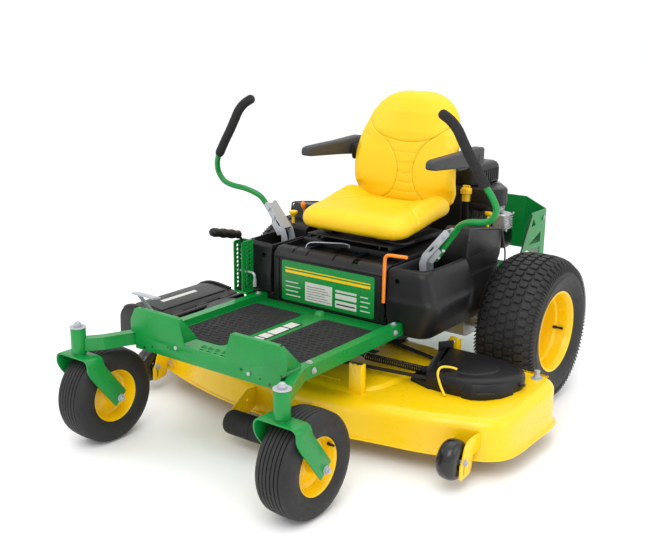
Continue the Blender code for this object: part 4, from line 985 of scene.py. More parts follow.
def make_armrest(side):
    """A moulded pad, wedge shaped at the tip, on a hinge block beside the seat back."""
    x = side * 0.279
    loops = []
    for y, half, low, high, corner in ((-0.337, 0.0130, 0.8955, 0.9130, 0.005),
                                       (-0.334, 0.0165, 0.8915, 0.9175, 0.007),
                                       (-0.326, 0.0195, 0.8890, 0.9215, 0.008),
                                       (-0.310, 0.0215, 0.8865, 0.9250, 0.009),
                                       (-0.240, 0.0230, 0.8820, 0.9275, 0.010),
                                       (-0.120, 0.0240, 0.8740, 0.9305, 0.010),
                                       (-0.020, 0.0242, 0.8650, 0.9365, 0.010),
                                       (0.020, 0.0240, 0.8640, 0.9380, 0.010),
                                       (0.033, 0.0225, 0.8680, 0.9365, 0.009),
                                       (0.036, 0.0190, 0.8720, 0.9330, 0.007)):
        section = rounded(-half, half, low, high, corner, 5)
        loops.append([(x + u, y, z) for u, z in section])
    pad = loft(loops)
    hinge = rod("x", (0.0, 0.900), 0.0135, side * 0.2440, side * 0.2800, 40)
    cap = turned([(0.0, side * 0.3025), (0.0130, side * 0.3025), (0.0140, side * 0.3040),
                  (0.0125, side * 0.3058),
                  (0.0, side * 0.3062)], "x", (0.0, 0.900), 40)
    add_piece(join(pad, hinge, cap), side_name("armrest_pad", side), side_name("armrest", side),
              "grey_plastic", 40,
              stands_for=(side_name("armrest", side),))
    plate = soften(prism(rounded(-0.070, 0.026, 0.850, 0.912, 0.020), "x", side * 0.2405, side * 0.2435),
                   0.0008)
    add_piece(plate, side_name("armrest_bracket", side), "seat", "black_steel")


def make_seat_base():
    """The pressed pan under the seat with its slide rails, springs and latch bar."""
    parts = [soften(box(-0.190, 0.190, -0.430, -0.060, 0.610, 0.616), 0.0015)]
    for side in SIDES:
        parts.append(soften(box(side * 0.110, side * 0.150, -0.380, -0.080, 0.6162, 0.6225), 0.0015))
        parts.append(soften(box(side * 0.116, side * 0.144, -0.372, -0.088, 0.6225, 0.6314), 0.0020))
        parts.append(soften(prism([(-0.432, 0.6155), (-0.432, 0.598), (-0.418, 0.598), (-0.412, 0.6155)], "x",
                                  side * 0.137, side * 0.143), 0.0008))
        parts.append(soften(box(side * 0.176, side * 0.1895, -0.430, -0.060, 0.598, 0.611), 0.0012))
    parts.append(tube(smooth([(0.160, -0.400, 0.6240), (0.200, -0.400, 0.6240), (0.228, -0.388, 0.6250),
                              (0.236, -0.352, 0.6280)], 4), 0.0045, 16))
    add_piece(join(*parts), "seat_pan", "seat_base", "black_steel", stands_for=("seat_base",))
    for side in SIDES:
        coils = []
        for i in range(60):
            turn = math.tau * i / 10
            coils.append((side * 0.080 + 0.015 * math.cos(turn), -0.120 + 0.015 * math.sin(turn),
                          0.594 + 0.0155 * i / 59))
        add_piece(tube(coils, 0.0020, 10), side_name("seat_spring", side), "chassis", "black_steel")


# Levers -------------------------------------------------------------------------------------------------

def make_lever(side):
    px, py, pz = side * LEVER_PIVOT.x, LEVER_PIVOT.y, LEVER_PIVOT.z
    body = side_name("control_lever", side)
    path = smooth(mirror_x([(0.352, py, 0.588), (0.386, py - 0.001, 0.640), (0.424, py - 0.004, 0.693),
                            (0.452, py - 0.016, 0.727), (0.502, -0.430, 0.750), (0.556, -0.444, 0.759),
                            (0.594, -0.455, 0.776), (0.613, -0.465, 0.812), (0.604, -0.480, 0.852),
                            (0.586, -0.490, 0.884), (0.578, -0.4905, 0.898)], side), 6)
    add_piece(tube(path, 0.0110, 28), side_name("lever_tube", side), body, "green_paint", 50,
              stands_for=(side_name("control_lever", side),))
    grip_path = smooth(mirror_x([(0.5845, -0.4905, 0.8840), (0.5520, -0.4925, 0.9370),
                                 (0.5180, -0.4942, 0.9890),
                                 (0.4920, -0.4950, 1.0330), (0.4740, -0.4950, 1.0630),
                                 (0.4460, -0.4938, 1.0910),
                                 (0.4060, -0.4912, 1.1140)], side), 8)
    count = len(grip_path)
    radii = [0.0174] * count
    for i, r in ((0, 0.0150), (1, 0.0172), (2, 0.0180), (3, 0.0176)):
        radii[i] = r
    for i, r in ((1, 0.0120), (2, 0.0162), (3, 0.0172)):
        radii[count - i] = r
    for i in range(6, count - 6):
        radii[i] = 0.0174 + 0.00035 * math.sin(i * 2.1)
    grip = tube(grip_path, radii, 32)
    add_piece(grip, side_name("lever_foam", side), body, "foam_grip", 60,
              stands_for=(side_name("lever_grip", side),))
    line = [Vector((0.3190, 0.5300)), Vector((0.3130, 0.5720)), Vector((0.3220, 0.5980)),
            Vector((0.4050, 0.6960))]
    across = Vector((0.7652, -0.6438)) * 0.0135
    outline = [line[0] + Vector((0.0135, 0.0)), line[0] + Vector((0.0, -0.0125)),
               line[0] - Vector((0.0135, 0.0)),
               line[1] - Vector((0.0135, 0.0)), line[2] - across, line[3] - across,
               line[3] - across * 0.6 + Vector((0.0040, 0.0050)),
               line[3] + across * 0.6 + Vector((0.0040, 0.0040)),
               line[3] + across, line[2] + across + Vector((0.002, 0.0)), line[1] + Vector((0.0160, 0.0))]
    outline = [(side * point.x, point.y) for point in outline]
    plates = []
    for offset in (-0.0235, 0.0235):
        plate = prism(outline, "y", py + offset - 0.0020, py + offset + 0.0020)
        hole = line[2].lerp(line[3], 0.30)
        slot = [(side * (hole.x + u * 0.6438 + v * 0.7652), hole.y + u * 0.7652 - v * 0.6438)
                for u, v in rounded(-0.014, 0.014, -0.0035, 0.0035, 0.0030, 4)]
        cut(plate, prism(slot, "y", py - 0.05, py + 0.05), rod("y", (px, pz), 0.0076, py - 0.05, py + 0.05, 24))
        plates.append(soften(plate, 0.0007, 2, 50))
    web = []
    for share in (0.06, 0.98):
        middle = line[2].lerp(line[3], share)
        inner, outer = middle - across * 0.98, middle - across * 0.78
        web.append([Vector((side * inner.x, py - 0.0225, inner.y)),
                    Vector((side * inner.x, py + 0.0225, inner.y)),
                    Vector((side * outer.x, py + 0.0225, outer.y)),
                    Vector((side * outer.x, py - 0.0225, outer.y))])
    plates.append(loft(web))
    add_piece(join(*plates), side_name("lever_plates", side), body, "zinc_steel")
    spots = []
    for share in (0.52, 0.84):
        at = line[2].lerp(line[3], share)
        spots.append(((side * at.x, py - 0.0256, at.y), (0, -1, 0)))
        spots.append(((side * at.x, py + 0.0256, at.y), (0, 1, 0)))
    bolts(side_name("lever_bolts", side), body, spots, 0.0062, 0.0048, 0.0085)
    spots = []
    for z in (0.600, 0.628):
        at = path[0].lerp(path[6], (z - 0.588) / 0.052)
        spots.append(((at.x + side * 0.0075, at.y - 0.0075, at.z), (side * 0.7, -0.7, 0)))
    bolts(side_name("lever_tube_bolts", side), body, spots, 0.0060, 0.0050, 0.0)
    spacers = []
    for share in (0.52, 0.84):
        at = line[2].lerp(line[3], share)
        spacers.append(rod("y", (side * at.x, at.y), 0.0050, py - 0.0215, py + 0.0215, 20))
    add_piece(join(*spacers), side_name("lever_spacers", side), body, "zinc_steel")
    bracket = loft([[Vector((side * x, y, z)) for x, z in ((0.330, 0.586), (0.352, 0.577), (0.385, 0.622),
                                                           (0.372, 0.636))]
                    for y in (py - 0.0205, py - 0.0165)])
    add_piece(bracket, side_name("lever_tube_bracket", side), body, "zinc_steel")
    base = fuse(box(px - 0.012, px + 0.012, py - 0.0165, py + 0.0165, pz - 0.0185, pz + 0.010),
                rod("y", (px, pz), 0.0070, py - 0.0320, py + 0.0320, 32))
    add_piece(soften(base, 0.0010, 2, 40), side_name("lever_pivot", side), side_name("lever_base", side),
              "zinc_steel",
              stands_for=(side_name("lever_base", side),))


# Mower deck ---------------------------------------------------------------------------------------------

DECK_TOP, DECK_SLOPE, DECK_FRONT, DECK_SKIN = 0.192, 0.06, -0.850, 0.005
DECK_SHOULDER = 0.036
GAUGE_X = {1: 0.700, -1: 0.640}
GAUGE_Y, GAUGE_Z = -0.846, 0.100
ROLLER_Y, ROLLER_Z = -1.030, 0.086


def deck_top(y, below=0.0):
    return DECK_TOP + DECK_SLOPE * (y - DECK_FRONT) - below


def tilt_to(outline, below):
    return [(point[0], point[1], deck_top(point[1], below)) for point in outline]


def deck_outline():
    right = DECK_X - 0.755
    corners = [(-0.160, -0.880), (0.040, -0.888), (0.240, -0.872), (0.400, -0.838), (0.560, -0.804),
               (0.660, -0.770),
               (0.745, -0.742), (0.796, -0.694), (0.812, -0.620), (0.812, -0.500), (0.812, -0.390),
               (0.798, -0.325),
               (0.758, -0.294), (0.690, -0.288), (0.560, -0.288), (0.420, -0.287), (0.300, -0.276),
               (0.160, -0.263),
               (-0.080, -0.263), (-0.220, -0.276), (-0.340, -0.287), (-0.480, -0.288), (-0.620, -0.289),
               (-0.690, -0.302), (right, -0.345), (right, -0.500), (right, -0.670), (-0.680, -0.735),
               (-0.560, -0.788),
               (-0.360, -0.846)]
    return [(p.x, p.y) for p in smooth([(*point, 0.0) for point in corners], 5, True)]


def make_deck():
    outer = deck_outline()
    inner = inset(outer, DECK_SKIN)
    loops = [tilt_to(inset(inner, 0.040), DECK_SKIN), tilt_to(inset(inner, 0.012), 0.014),
             tilt_to(inner, 0.034),
             raise_to(inner, DECK_LOW)]
    for grow, low in ((0.0125, 0.0), (0.0135, 0.0015), (0.0135, 0.0040), (0.0120, 0.0056), (0.0060, 0.0064),
                      (0.0026, 0.0082), (0.0008, 0.0130)):
        loops.append(raise_to(inset(outer, -grow), DECK_LOW + low))
    loops.append([(x, y, (DECK_LOW + deck_top(y)) / 2) for x, y in outer])
    for i in range(9):
        turn = math.pi / 2 * i / 8
        loops.append(tilt_to(inset(outer, DECK_SHOULDER * (1.0 - math.cos(turn))),
                             DECK_SHOULDER * (1.0 - math.sin(turn))))
    shell = loft(loops)
    right = DECK_X - 0.755
    shell = cut(shell, box(right - 0.03, right + 0.03, -0.660, -0.310, 0.078, 0.150))
    add_piece(shell, "deck_pressing", "deck", "yellow_paint", 50, stands_for=("deck_shell",))
    plateau = [(-0.300, -0.800), (0.245, -0.800), (0.300, -0.772), (0.352, -0.700), (0.372, -0.560),
               (0.366, -0.330),
               (0.150, -0.305), (-0.080, -0.305), (-0.400, -0.330), (-0.420, -0.560), (-0.390, -0.700),
               (-0.345, -0.778)]
    plateau = [(p.x, p.y) for p in smooth([(*point, 0.0) for point in plateau], 4, True)]
    raised = loft([tilt_to(plateau, 0.004), tilt_to(plateau, 0.0), tilt_to(inset(plateau, 0.006), -0.0030),
                   tilt_to(inset(plateau, 0.014), -0.0085), tilt_to(inset(plateau, 0.020), -0.0100)])
    ribs = []
    for x0, x1, y0, y1 in ((-0.17, 0.20, -0.752, -0.744), (0.470, 0.770, -0.3185, -0.3125)):
        ribs.append(loft([tilt_to(resample(rounded(x0, x1, y0, y1, 0.0035), 0.05),
                                  -0.0095 if x0 < 0 else 0.002),
                          tilt_to(inset(resample(rounded(x0, x1, y0, y1, 0.0035), 0.05), 0.0015),
                                  -0.0125 if x0 < 0 else -0.003)]))
    add_piece(join(raised, *ribs), "deck_plateau", "deck", "yellow_paint", 50)
    plates = []
    for side in SIDES:
        at = side * 0.291
        angle_iron = [(at - 0.025, -0.790), (at + 0.025, -0.790), (at + 0.025, -0.764), (at + 0.0205, -0.764),
                      (at + 0.0205, -0.7855), (at - 0.025, -0.7855)]
        post = prism(angle_iron, "z", deck_top(-0.79) - 0.006, 0.300)
        for x in (at - 0.012, at + 0.008):
            post = cut(post, rod("y", (x, 0.3015), 0.0045, -0.80, -0.75, 16))
        plates.append(soften(post, 0.0009, 2, 50))
        at = side * 0.407
        tab = [(at - 0.023, DECK_TOP), (at + 0.023, DECK_TOP), (at + 0.023, 0.302), (at - 0.006, 0.302),
               (at - 0.023, 0.276)]
        tab = prism(tab, "y", -0.3445, -0.3400)
        tab = cut(tab, prism(rounded(at - 0.010, at + 0.012, 0.238, 0.247, 0.004), "y", -0.36, -0.33),
                  rod("y", (at + 0.006, 0.284), 0.005, -0.36, -0.33, 20))
        wing = box(at + 0.019, at + 0.023, -0.3445, -0.318, DECK_TOP + 0.02, 0.290)
        plates.append(soften(fuse(tab, wing), 0.0008, 2, 50))
    for x in (-0.062, 0.182):
        cheek = [(ROLLER_Y - 0.022, 0.072), (ROLLER_Y - 0.010, 0.060), (ROLLER_Y + 0.030, 0.058),
                 (-0.870, 0.100),
                 (-0.870, 0.160), (-0.930, 0.166), (ROLLER_Y + 0.030, 0.128), (ROLLER_Y - 0.014, 0.110)]
        cheek = prism(cheek, "x", x - 0.0025, x + 0.0025)
        plates.append(soften(cut(cheek, rod("x", (-0.935, 0.128), 0.006, x - 0.01, x + 0.01, 20)), 0.0009, 2,
                             50))
    add_piece(join(*plates), "deck_brackets", "deck", "yellow_paint", 40)
    steel = [rod("x", (ROLLER_Y, ROLLER_Z), 0.0070, -0.0680, 0.1880, 24)]
    for side in SIDES:
        x, y = DECK_X + side * 0.125, -0.330
        steel.append(rod("z", (x, y), 0.0080, DECK_TOP, 0.250, 24))
        steel.append(turned([(0.0, 0.2285), (0.041, 0.2285), (0.0420, 0.2300), (0.036, 0.2330), (0.036, 0.2440),
                             (0.0420, 0.2470), (0.041, 0.2485), (0.0, 0.2485)], "z", (x, y), 40))
        steel.append(soften(box(x - 0.020, x + 0.020, y - 0.030, y + 0.010, 0.214, 0.2262), 0.001))
    add_piece(join(*steel), "deck_idlers", "deck", "black_steel")
    housings = []
    for x, y in SPINDLES.values():
        housings.append(ring([(0.016, 0.130), (0.032, 0.130), (0.033, DECK_TOP - 0.002), (0.062, 0.2080),
                              (0.060, 0.2120),
                              (0.050, 0.2130), (0.036, 0.2160), (0.030, 0.2215), (0.016, 0.2225)], "z",
                              (x, y), 48))
    add_piece(join(*housings), "spindle_housings", "deck", "black_steel")
    spots = []
    for x, y in SPINDLES.values():
        for i in range(6):
            turn = math.tau * (i + 0.5) / 6
            spots.append(((x + 0.0555 * math.cos(turn), y + 0.0555 * math.sin(turn), 0.2120), (0, 0, 1)))
    bolts("spindle_bolts", "deck", spots, 0.0055, 0.0045, 0.0)
    for side in SIDES:
        spots = []
        for y in (-0.345, -0.362):
            spots.append(((side * 0.403, -0.3450, 0.222 + (y + 0.362) * 2.2), (0, -1, 0)))
        bolts(side_name("bracket_bolts", side), "deck", spots, 0.0055, 0.0045, 0.0085)
    port = turned([(0.0, 0.2180), (0.0200, 0.2180), (0.0210, 0.2200), (0.0200, 0.2235), (0.0130, 0.2250),
                   (0.0120, 0.2320),
                   (0.0085, 0.2340), (0.0080, 0.2440), (0.0100, 0.2450), (0.0100, 0.2500), (0.0, 0.2510)],
                  "z", (0.742, -0.345), 40)
    add_piece(join(port, move(hex_bolt("stud", 0.0140, 0.006), (0.742, -0.345, 0.2240))), "wash_port", "deck",
              "zinc_steel")


def make_gauge(side):
    x, y, z = side * GAUGE_X[side], GAUGE_Y, GAUGE_Z
    half = []
    for i in range(9):
        turn = math.pi / 2 * i / 8
        half.append((0.030 + 0.035 * math.sin(turn) ** 0.8, 0.033 * math.cos(turn) ** 0.75))
    profile = [(0.0088, 0.0300), (0.0150, 0.0300), (0.0180, 0.0260), (0.0260, 0.0260)] + half
    profile += [(r, -w) for r, w in profile[-2::-1]]
    add_piece(ring([(r, x + w) for r, w in profile], "x", (y, z), 72), side_name("gauge_tyre", side),
              side_name("gauge_wheel", side), "black_gloss", 50, stands_for=(side_name("gauge_wheel", side),))
    reach = 0.108 if side > 0 else 0.081
    inner_reach = 0.0795 if side > 0 else 0.118
    cheek = [(y - 0.014, z - 0.055), (y + 0.040, z - 0.050), (y + 0.050, z - 0.030), (y + 0.052, z + 0.006),
             (y + reach, z + 0.010), (y + reach, 0.160), (y + reach - 0.020, 0.166), (y + 0.040, 0.166),
             (y + 0.018, 0.160),
             (y + 0.004, 0.148), (y - 0.004, 0.130), (y - 0.010, z + 0.010), (y - 0.022, z - 0.006),
             (y - 0.022, z - 0.050)]
    plate = prism(cheek, "x", x + 0.0370, x + 0.0430)
    slot = prism(rounded(y - 0.0035, y + 0.0035, z - 0.044, z - 0.012, 0.003), "x", x + 0.03, x + 0.05)
    inner = prism([(y - 0.012, z - 0.012), (y + inner_reach, 0.085), (y + inner_reach, 0.140),
                   (y - 0.012, z + 0.014)],
                  "x", x - 0.0420, x - 0.0380)
    add_piece(join(soften(cut(plate, slot), 0.0010, 2, 40), soften(inner, 0.0008, 2, 40)),
              side_name("gauge_bracket", side),
              "deck", "yellow_paint", 40)
    add_piece(rod("x", (y, z), 0.0078, x - 0.0480, x + 0.0500, 28), side_name("gauge_axle", side), "deck",
              "zinc_steel")
    bolts(side_name("gauge_bolts", side), "deck", [((x + 0.0432, y, z), (1, 0, 0)),
                                                   ((x - 0.0422, y, z), (-1, 0, 0))],
          0.0085, 0.0062, 0.0120, "stud")


def make_roller():
    profile = [(0.0080, -0.0570), (0.0300, -0.0570), (0.0380, -0.0540), (0.0410, -0.0480), (0.0420, -0.0400),
               (0.0420, 0.0570), (0.0410, 0.0588), (0.0385, 0.0596), (0.0385, 0.0604), (0.0410, 0.0612),
               (0.0420, 0.0630),
               (0.0420, 0.1600), (0.0410, 0.1680), (0.0380, 0.1740), (0.0300, 0.1770), (0.0080, 0.1770)]
    add_piece(ring(profile, "x", (ROLLER_Y, ROLLER_Z), 64), "roller_drum", "front_roller", "rubber",
              stands_for=("front_roller",))
    bolts("roller_bolts", "deck", [((-0.0650, ROLLER_Y, ROLLER_Z), (-1, 0, 0)),
                                   ((0.1850, ROLLER_Y, ROLLER_Z), (1, 0, 0))],
          0.0080, 0.0060, 0.0110, "stud")


def make_belt_cover(side):
    """A moulded pulley cover: a shelf, a raised top, a block with a slot at the front and a screw at the tip."""
    centre = DECK_X + side * 0.500

    def plan(points, steps=4):
        return [(p.x, p.y) for p in smooth([(centre + side * x, y, 0.0) for x, y in points], steps, True)]

    outline = plan([(-0.150, -0.354), (-0.151, -0.400), (-0.146, -0.440), (-0.118, -0.530), (-0.088, -0.604),
                    (-0.060, -0.624), (0.000, -0.627), (0.060, -0.622), (0.100, -0.606), (0.138, -0.580),
                    (0.176, -0.532), (0.200, -0.470), (0.196, -0.430), (0.172, -0.392), (0.090, -0.356),
                    (-0.020, -0.350),
                    (-0.100, -0.350)])
    top = 0.2675
    body = loft([tilt_to(inset(outline, 0.004), 0.002), tilt_to(inset(outline, 0.001), -0.004),
                 raise_to(outline, 0.2380),
                 raise_to(inset(outline, 0.0015), 0.2540), raise_to(inset(outline, 0.0055), 0.2620),
                 raise_to(inset(outline, 0.0140), 0.2665), raise_to(inset(outline, 0.0300), top)])
    parts = [body]
    block = [(0.062, -0.627), (0.100, -0.625), (0.140, -0.602), (0.176, -0.560), (0.196, -0.510),
             (0.160, -0.500),
             (0.080, -0.580)]
    block = [(centre + side * x, y) for x, y in block]
    low = loft([tilt_to(block, 0.001), raise_to(block, 0.2280), raise_to(inset(block, 0.010), 0.2560)])
    parts.append(soften(low, 0.0030, 3, 25))
    flange = [(-0.150, -0.600), (-0.060, -0.628), (-0.040, -0.600), (-0.110, -0.500), (-0.150, -0.500)]
    flange = [(centre + side * x, y) for x, y in flange]
    parts.append(soften(loft([tilt_to(flange, 0.001), tilt_to(inset(flange, 0.004), -0.022)]), 0.0020, 2, 25))
    tab = soften(box(-0.004, 0.004, -0.030, 0.030, 0.214, 0.290), 0.003, 2)
    turn_about(tab, "Z", (0, 0, 0), side * math.radians(-34))
    parts.append(move(tab, (centre - side * 0.142, -0.372, 0.0)))
    for x, y, radius in ((-0.060, -0.470, 0.012), (0.105, -0.455, 0.010), (0.020, -0.400, 0.010)):
        parts.append(turned([(radius, top - 0.002), (radius, top + 0.0005), (radius * 0.8, top + 0.0018),
                             (0.0, top + 0.0018)],
                            "z", (centre + side * x, y), 32))
    low_pan = [(-0.070, -0.560), (0.040, -0.575), (0.100, -0.540), (0.120, -0.470), (0.060, -0.410),
               (-0.070, -0.410)]
    low_pan = plan(low_pan)
    parts.append(loft([raise_to(low_pan, top - 0.003), raise_to(low_pan, top + 0.0008),
                       raise_to(inset(low_pan, 0.003), top + 0.0030),
                       raise_to(inset(low_pan, 0.010), top + 0.0040)]))
    add_piece(join(*parts), side_name("pulley_cover", side), "deck", "black_plastic", 35,
              stands_for=(side_name("belt_cover", side),))
    slot = soften(box(-0.030, 0.030, -0.0012, 0.0012, -0.0035, 0.0035), 0.001)
    turn_about(slot, "Z", (0, 0, 0), side * math.radians(40))
    add_piece(move(slot, (centre + side * 0.138, -0.6005, 0.2300)), side_name("cover_slot", side), "deck",
              "black_gloss")
    knob = turned([(0.0, 0.0), (0.0095, 0.0), (0.0095, 0.010), (0.0080, 0.012), (0.0055, 0.013),
                   (0.0055, 0.020), (0.0, 0.021)],
                  "x", (0.0, 0.0), 24)
    if side < 0:
        turn_about(knob, "Z", (0, 0, 0), math.pi)
    add_piece(move(knob, (centre + side * 0.196, -0.470, 0.2380)), side_name("cover_knob", side), "deck",
              "black_gloss")


def make_deck_fittings():
    start, stop = Vector((0.190, -0.5840, 0.2470)), Vector((0.452, -0.5655, 0.2440))
    along = (stop - start).normalized()
    across = along.cross(Vector((0, 0, 1))).normalized()
    up = across.cross(along)
    coil = []
    turns, steps = 30, 14
    for i in range(turns * steps + 1):
        turn = math.tau * i / steps
        coil.append(start.lerp(stop,
                               i / (turns * steps)) + (across * math.cos(turn) + up * math.sin(turn)) * 0.0115)
    add_piece(tube(coil, 0.0026, 8), "idler_spring", "deck", "black_steel", 60)
    ends = [tube([start - along * 0.060, start - along * 0.010, start + across * 0.011 + along * 0.002],
                 0.0028, 10),
            tube([stop + across * 0.011 - along * 0.002, stop + along * 0.010, stop + along * 0.034], 0.0028,
                 10)]
    add_piece(join(*ends), "spring_ends", "deck", "black_steel", 60)
    hook = smooth([(0.552, -0.566, 0.2760), (0.528, -0.574, 0.2800), (0.505, -0.590, 0.2790),
                   (0.506, -0.614, 0.2660),
                   (0.528, -0.634, 0.2360), (0.556, -0.650, 0.2080)], 6)
    add_piece(tube(hook, 0.0044, 16), "belt_guide_hook", "deck", "yellow_paint", 60)
    arm = soften(box(0.02, 0.24, -0.596, -0.566, 0.2680, 0.2730), 0.002)
    add_piece(arm, "idler_arm", "deck", "black_steel")


# Body panels, floor and front controls --------------------------------------------------------------------

CONSOLE_IN, CONSOLE_STEP = 0.262, 0.330
HEIGHT_PIN = (-0.365, -0.600, 0.470)


def console_plan(side, outer, front, rear, inner):
    corner = 0.046
    points = [(inner, rear), (inner, front)]
    for i in range(11):
        turn = math.pi / 2 * i / 10
        points.append((outer - corner + corner * math.sin(turn), front + corner - corner * math.cos(turn)))
    beside = min(outer, 0.4300)
    for i in range(9):
        share = ramp_up(i / 8, 0.0, 1.0)
        points.append((outer + (beside - outer) * share, -0.330 + 0.100 * i / 8))
    points += [(beside - 0.002, (rear - 0.230) / 2), (beside - 0.004, rear - 0.030),
               (beside - 0.009, rear - 0.010),
               (beside - 0.020, rear)]
    return mirror_x(points, side)


def make_console(side):
    low, high = CONSOLE_STEP, CONSOLE_IN
    sections = ((0.4100, -0.549, -0.160, low, 0.3410), (0.4150, -0.552, -0.154, low, 0.3425),
                (0.4240, -0.556, -0.137, low, 0.3640), (0.4380, -0.561, -0.108, low, 0.3940),
                (0.4400, -0.5615, -0.104, high, 0.3980), (0.4520, -0.565, -0.070, high, 0.4380),
                (0.4560, -0.566, -0.056, high, 0.4560), (0.4560, -0.566, -0.052, high, 0.4620),
                (0.4520, -0.5655, -0.048, high, 0.4680), (0.4450, -0.5635, -0.042, high, 0.4760),
                (0.4410, -0.5625, -0.036, high, 0.4880), (0.4245, -0.5588, -0.004, high, 0.5440),
                (0.4215, -0.5580, 0.004, high, 0.5540), (0.4180, -0.5565, 0.012, high, 0.5630),
                (0.4130, -0.5530, 0.016, high + 0.001, 0.5710), (0.4070, -0.5480, 0.015, high + 0.004, 0.5760),
                (0.4020, -0.5435, 0.010, high + 0.010, 0.5775),
                (0.3990, -0.5410, 0.000, high + 0.014, 0.5740), (0.3950, -0.5370, -0.040, high + 0.017, 0.5600),
                (0.3920, -0.5340, -0.080, high + 0.021, 0.5120),
                (0.3880, -0.5300, -0.084, high + 0.025, 0.5055))
    shell = loft([raise_to(console_plan(side, outer, front, rear, inner), height)
                  for outer, front, rear, inner, height in sections])
    cut(shell, box(side * 0.4070, side * 0.480, -0.275, 0.060, 0.514, 0.600),
        rod("y", (side * 0.300, 0.536), 0.0090, -0.60, -0.540, 24))
    profile = [(-0.262, 0.510), (-0.255, 0.655), (-0.250, 0.668), (-0.238, 0.678), (-0.220, 0.677),
               (-0.016, 0.643),
               (-0.002, 0.637), (0.006, 0.622), (0.010, 0.590), (0.004, 0.540), (-0.020, 0.510)]
    hump = soften(prism(profile, "x", side * 0.302, side * 0.4065), 0.0060, 3, 40)
    parts = [shell, hump]
    if side < 0:
        parts.append(soften(prism([(-0.346, 0.500), (-0.344, 0.600), (-0.334, 0.608), (-0.250, 0.622),
                                   (-0.250, 0.500)],
                                  "x", -0.388, -CONSOLE_IN - 0.001), 0.0050, 3, 40))
    add_piece(join(*parts), side_name("console", side), "chassis", "black_plastic", 40,
              stands_for=(side_name("side_console", side),))
    bead = smooth(mirror_x([(0.4075, -0.256, 0.640), (0.4080, -0.251, 0.666), (0.4085, -0.236, 0.6775),
                            (0.4085, -0.120, 0.6620),
                            (0.4085, -0.016, 0.6440), (0.4095, 0.003, 0.6300), (0.4130, 0.010, 0.5950),
                            (0.4240, 0.008, 0.5500), (0.4330, -0.014, 0.5050), (0.4370, -0.052, 0.4650),
                            (0.4350, -0.098, 0.4120), (0.4260, -0.142, 0.3560)], side), 4)
    add_piece(tube(bead, 0.0034, 14), side_name("console_bead", side), "chassis", "grey_plastic", 60)
    filler = soften(box(side * 0.2510, side * 0.2890, -0.5520, -0.100, 0.3500, 0.3940), 0.002)
    add_piece(filler, side_name("console_filler", side), "chassis", "black_plastic")
    rim = smooth(mirror_x([(0.3960, -0.275, 0.5770), (0.4000, -0.400, 0.5770), (0.3940, -0.490, 0.5770),
                           (0.3740, -0.5300, 0.5770), (0.3300, -0.5400, 0.5770), (0.2760, -0.5420, 0.5770)],
                           side), 6)
    add_piece(tube(rim, 0.0026, 12), side_name("console_rim", side), "chassis", "black_plastic", 60)


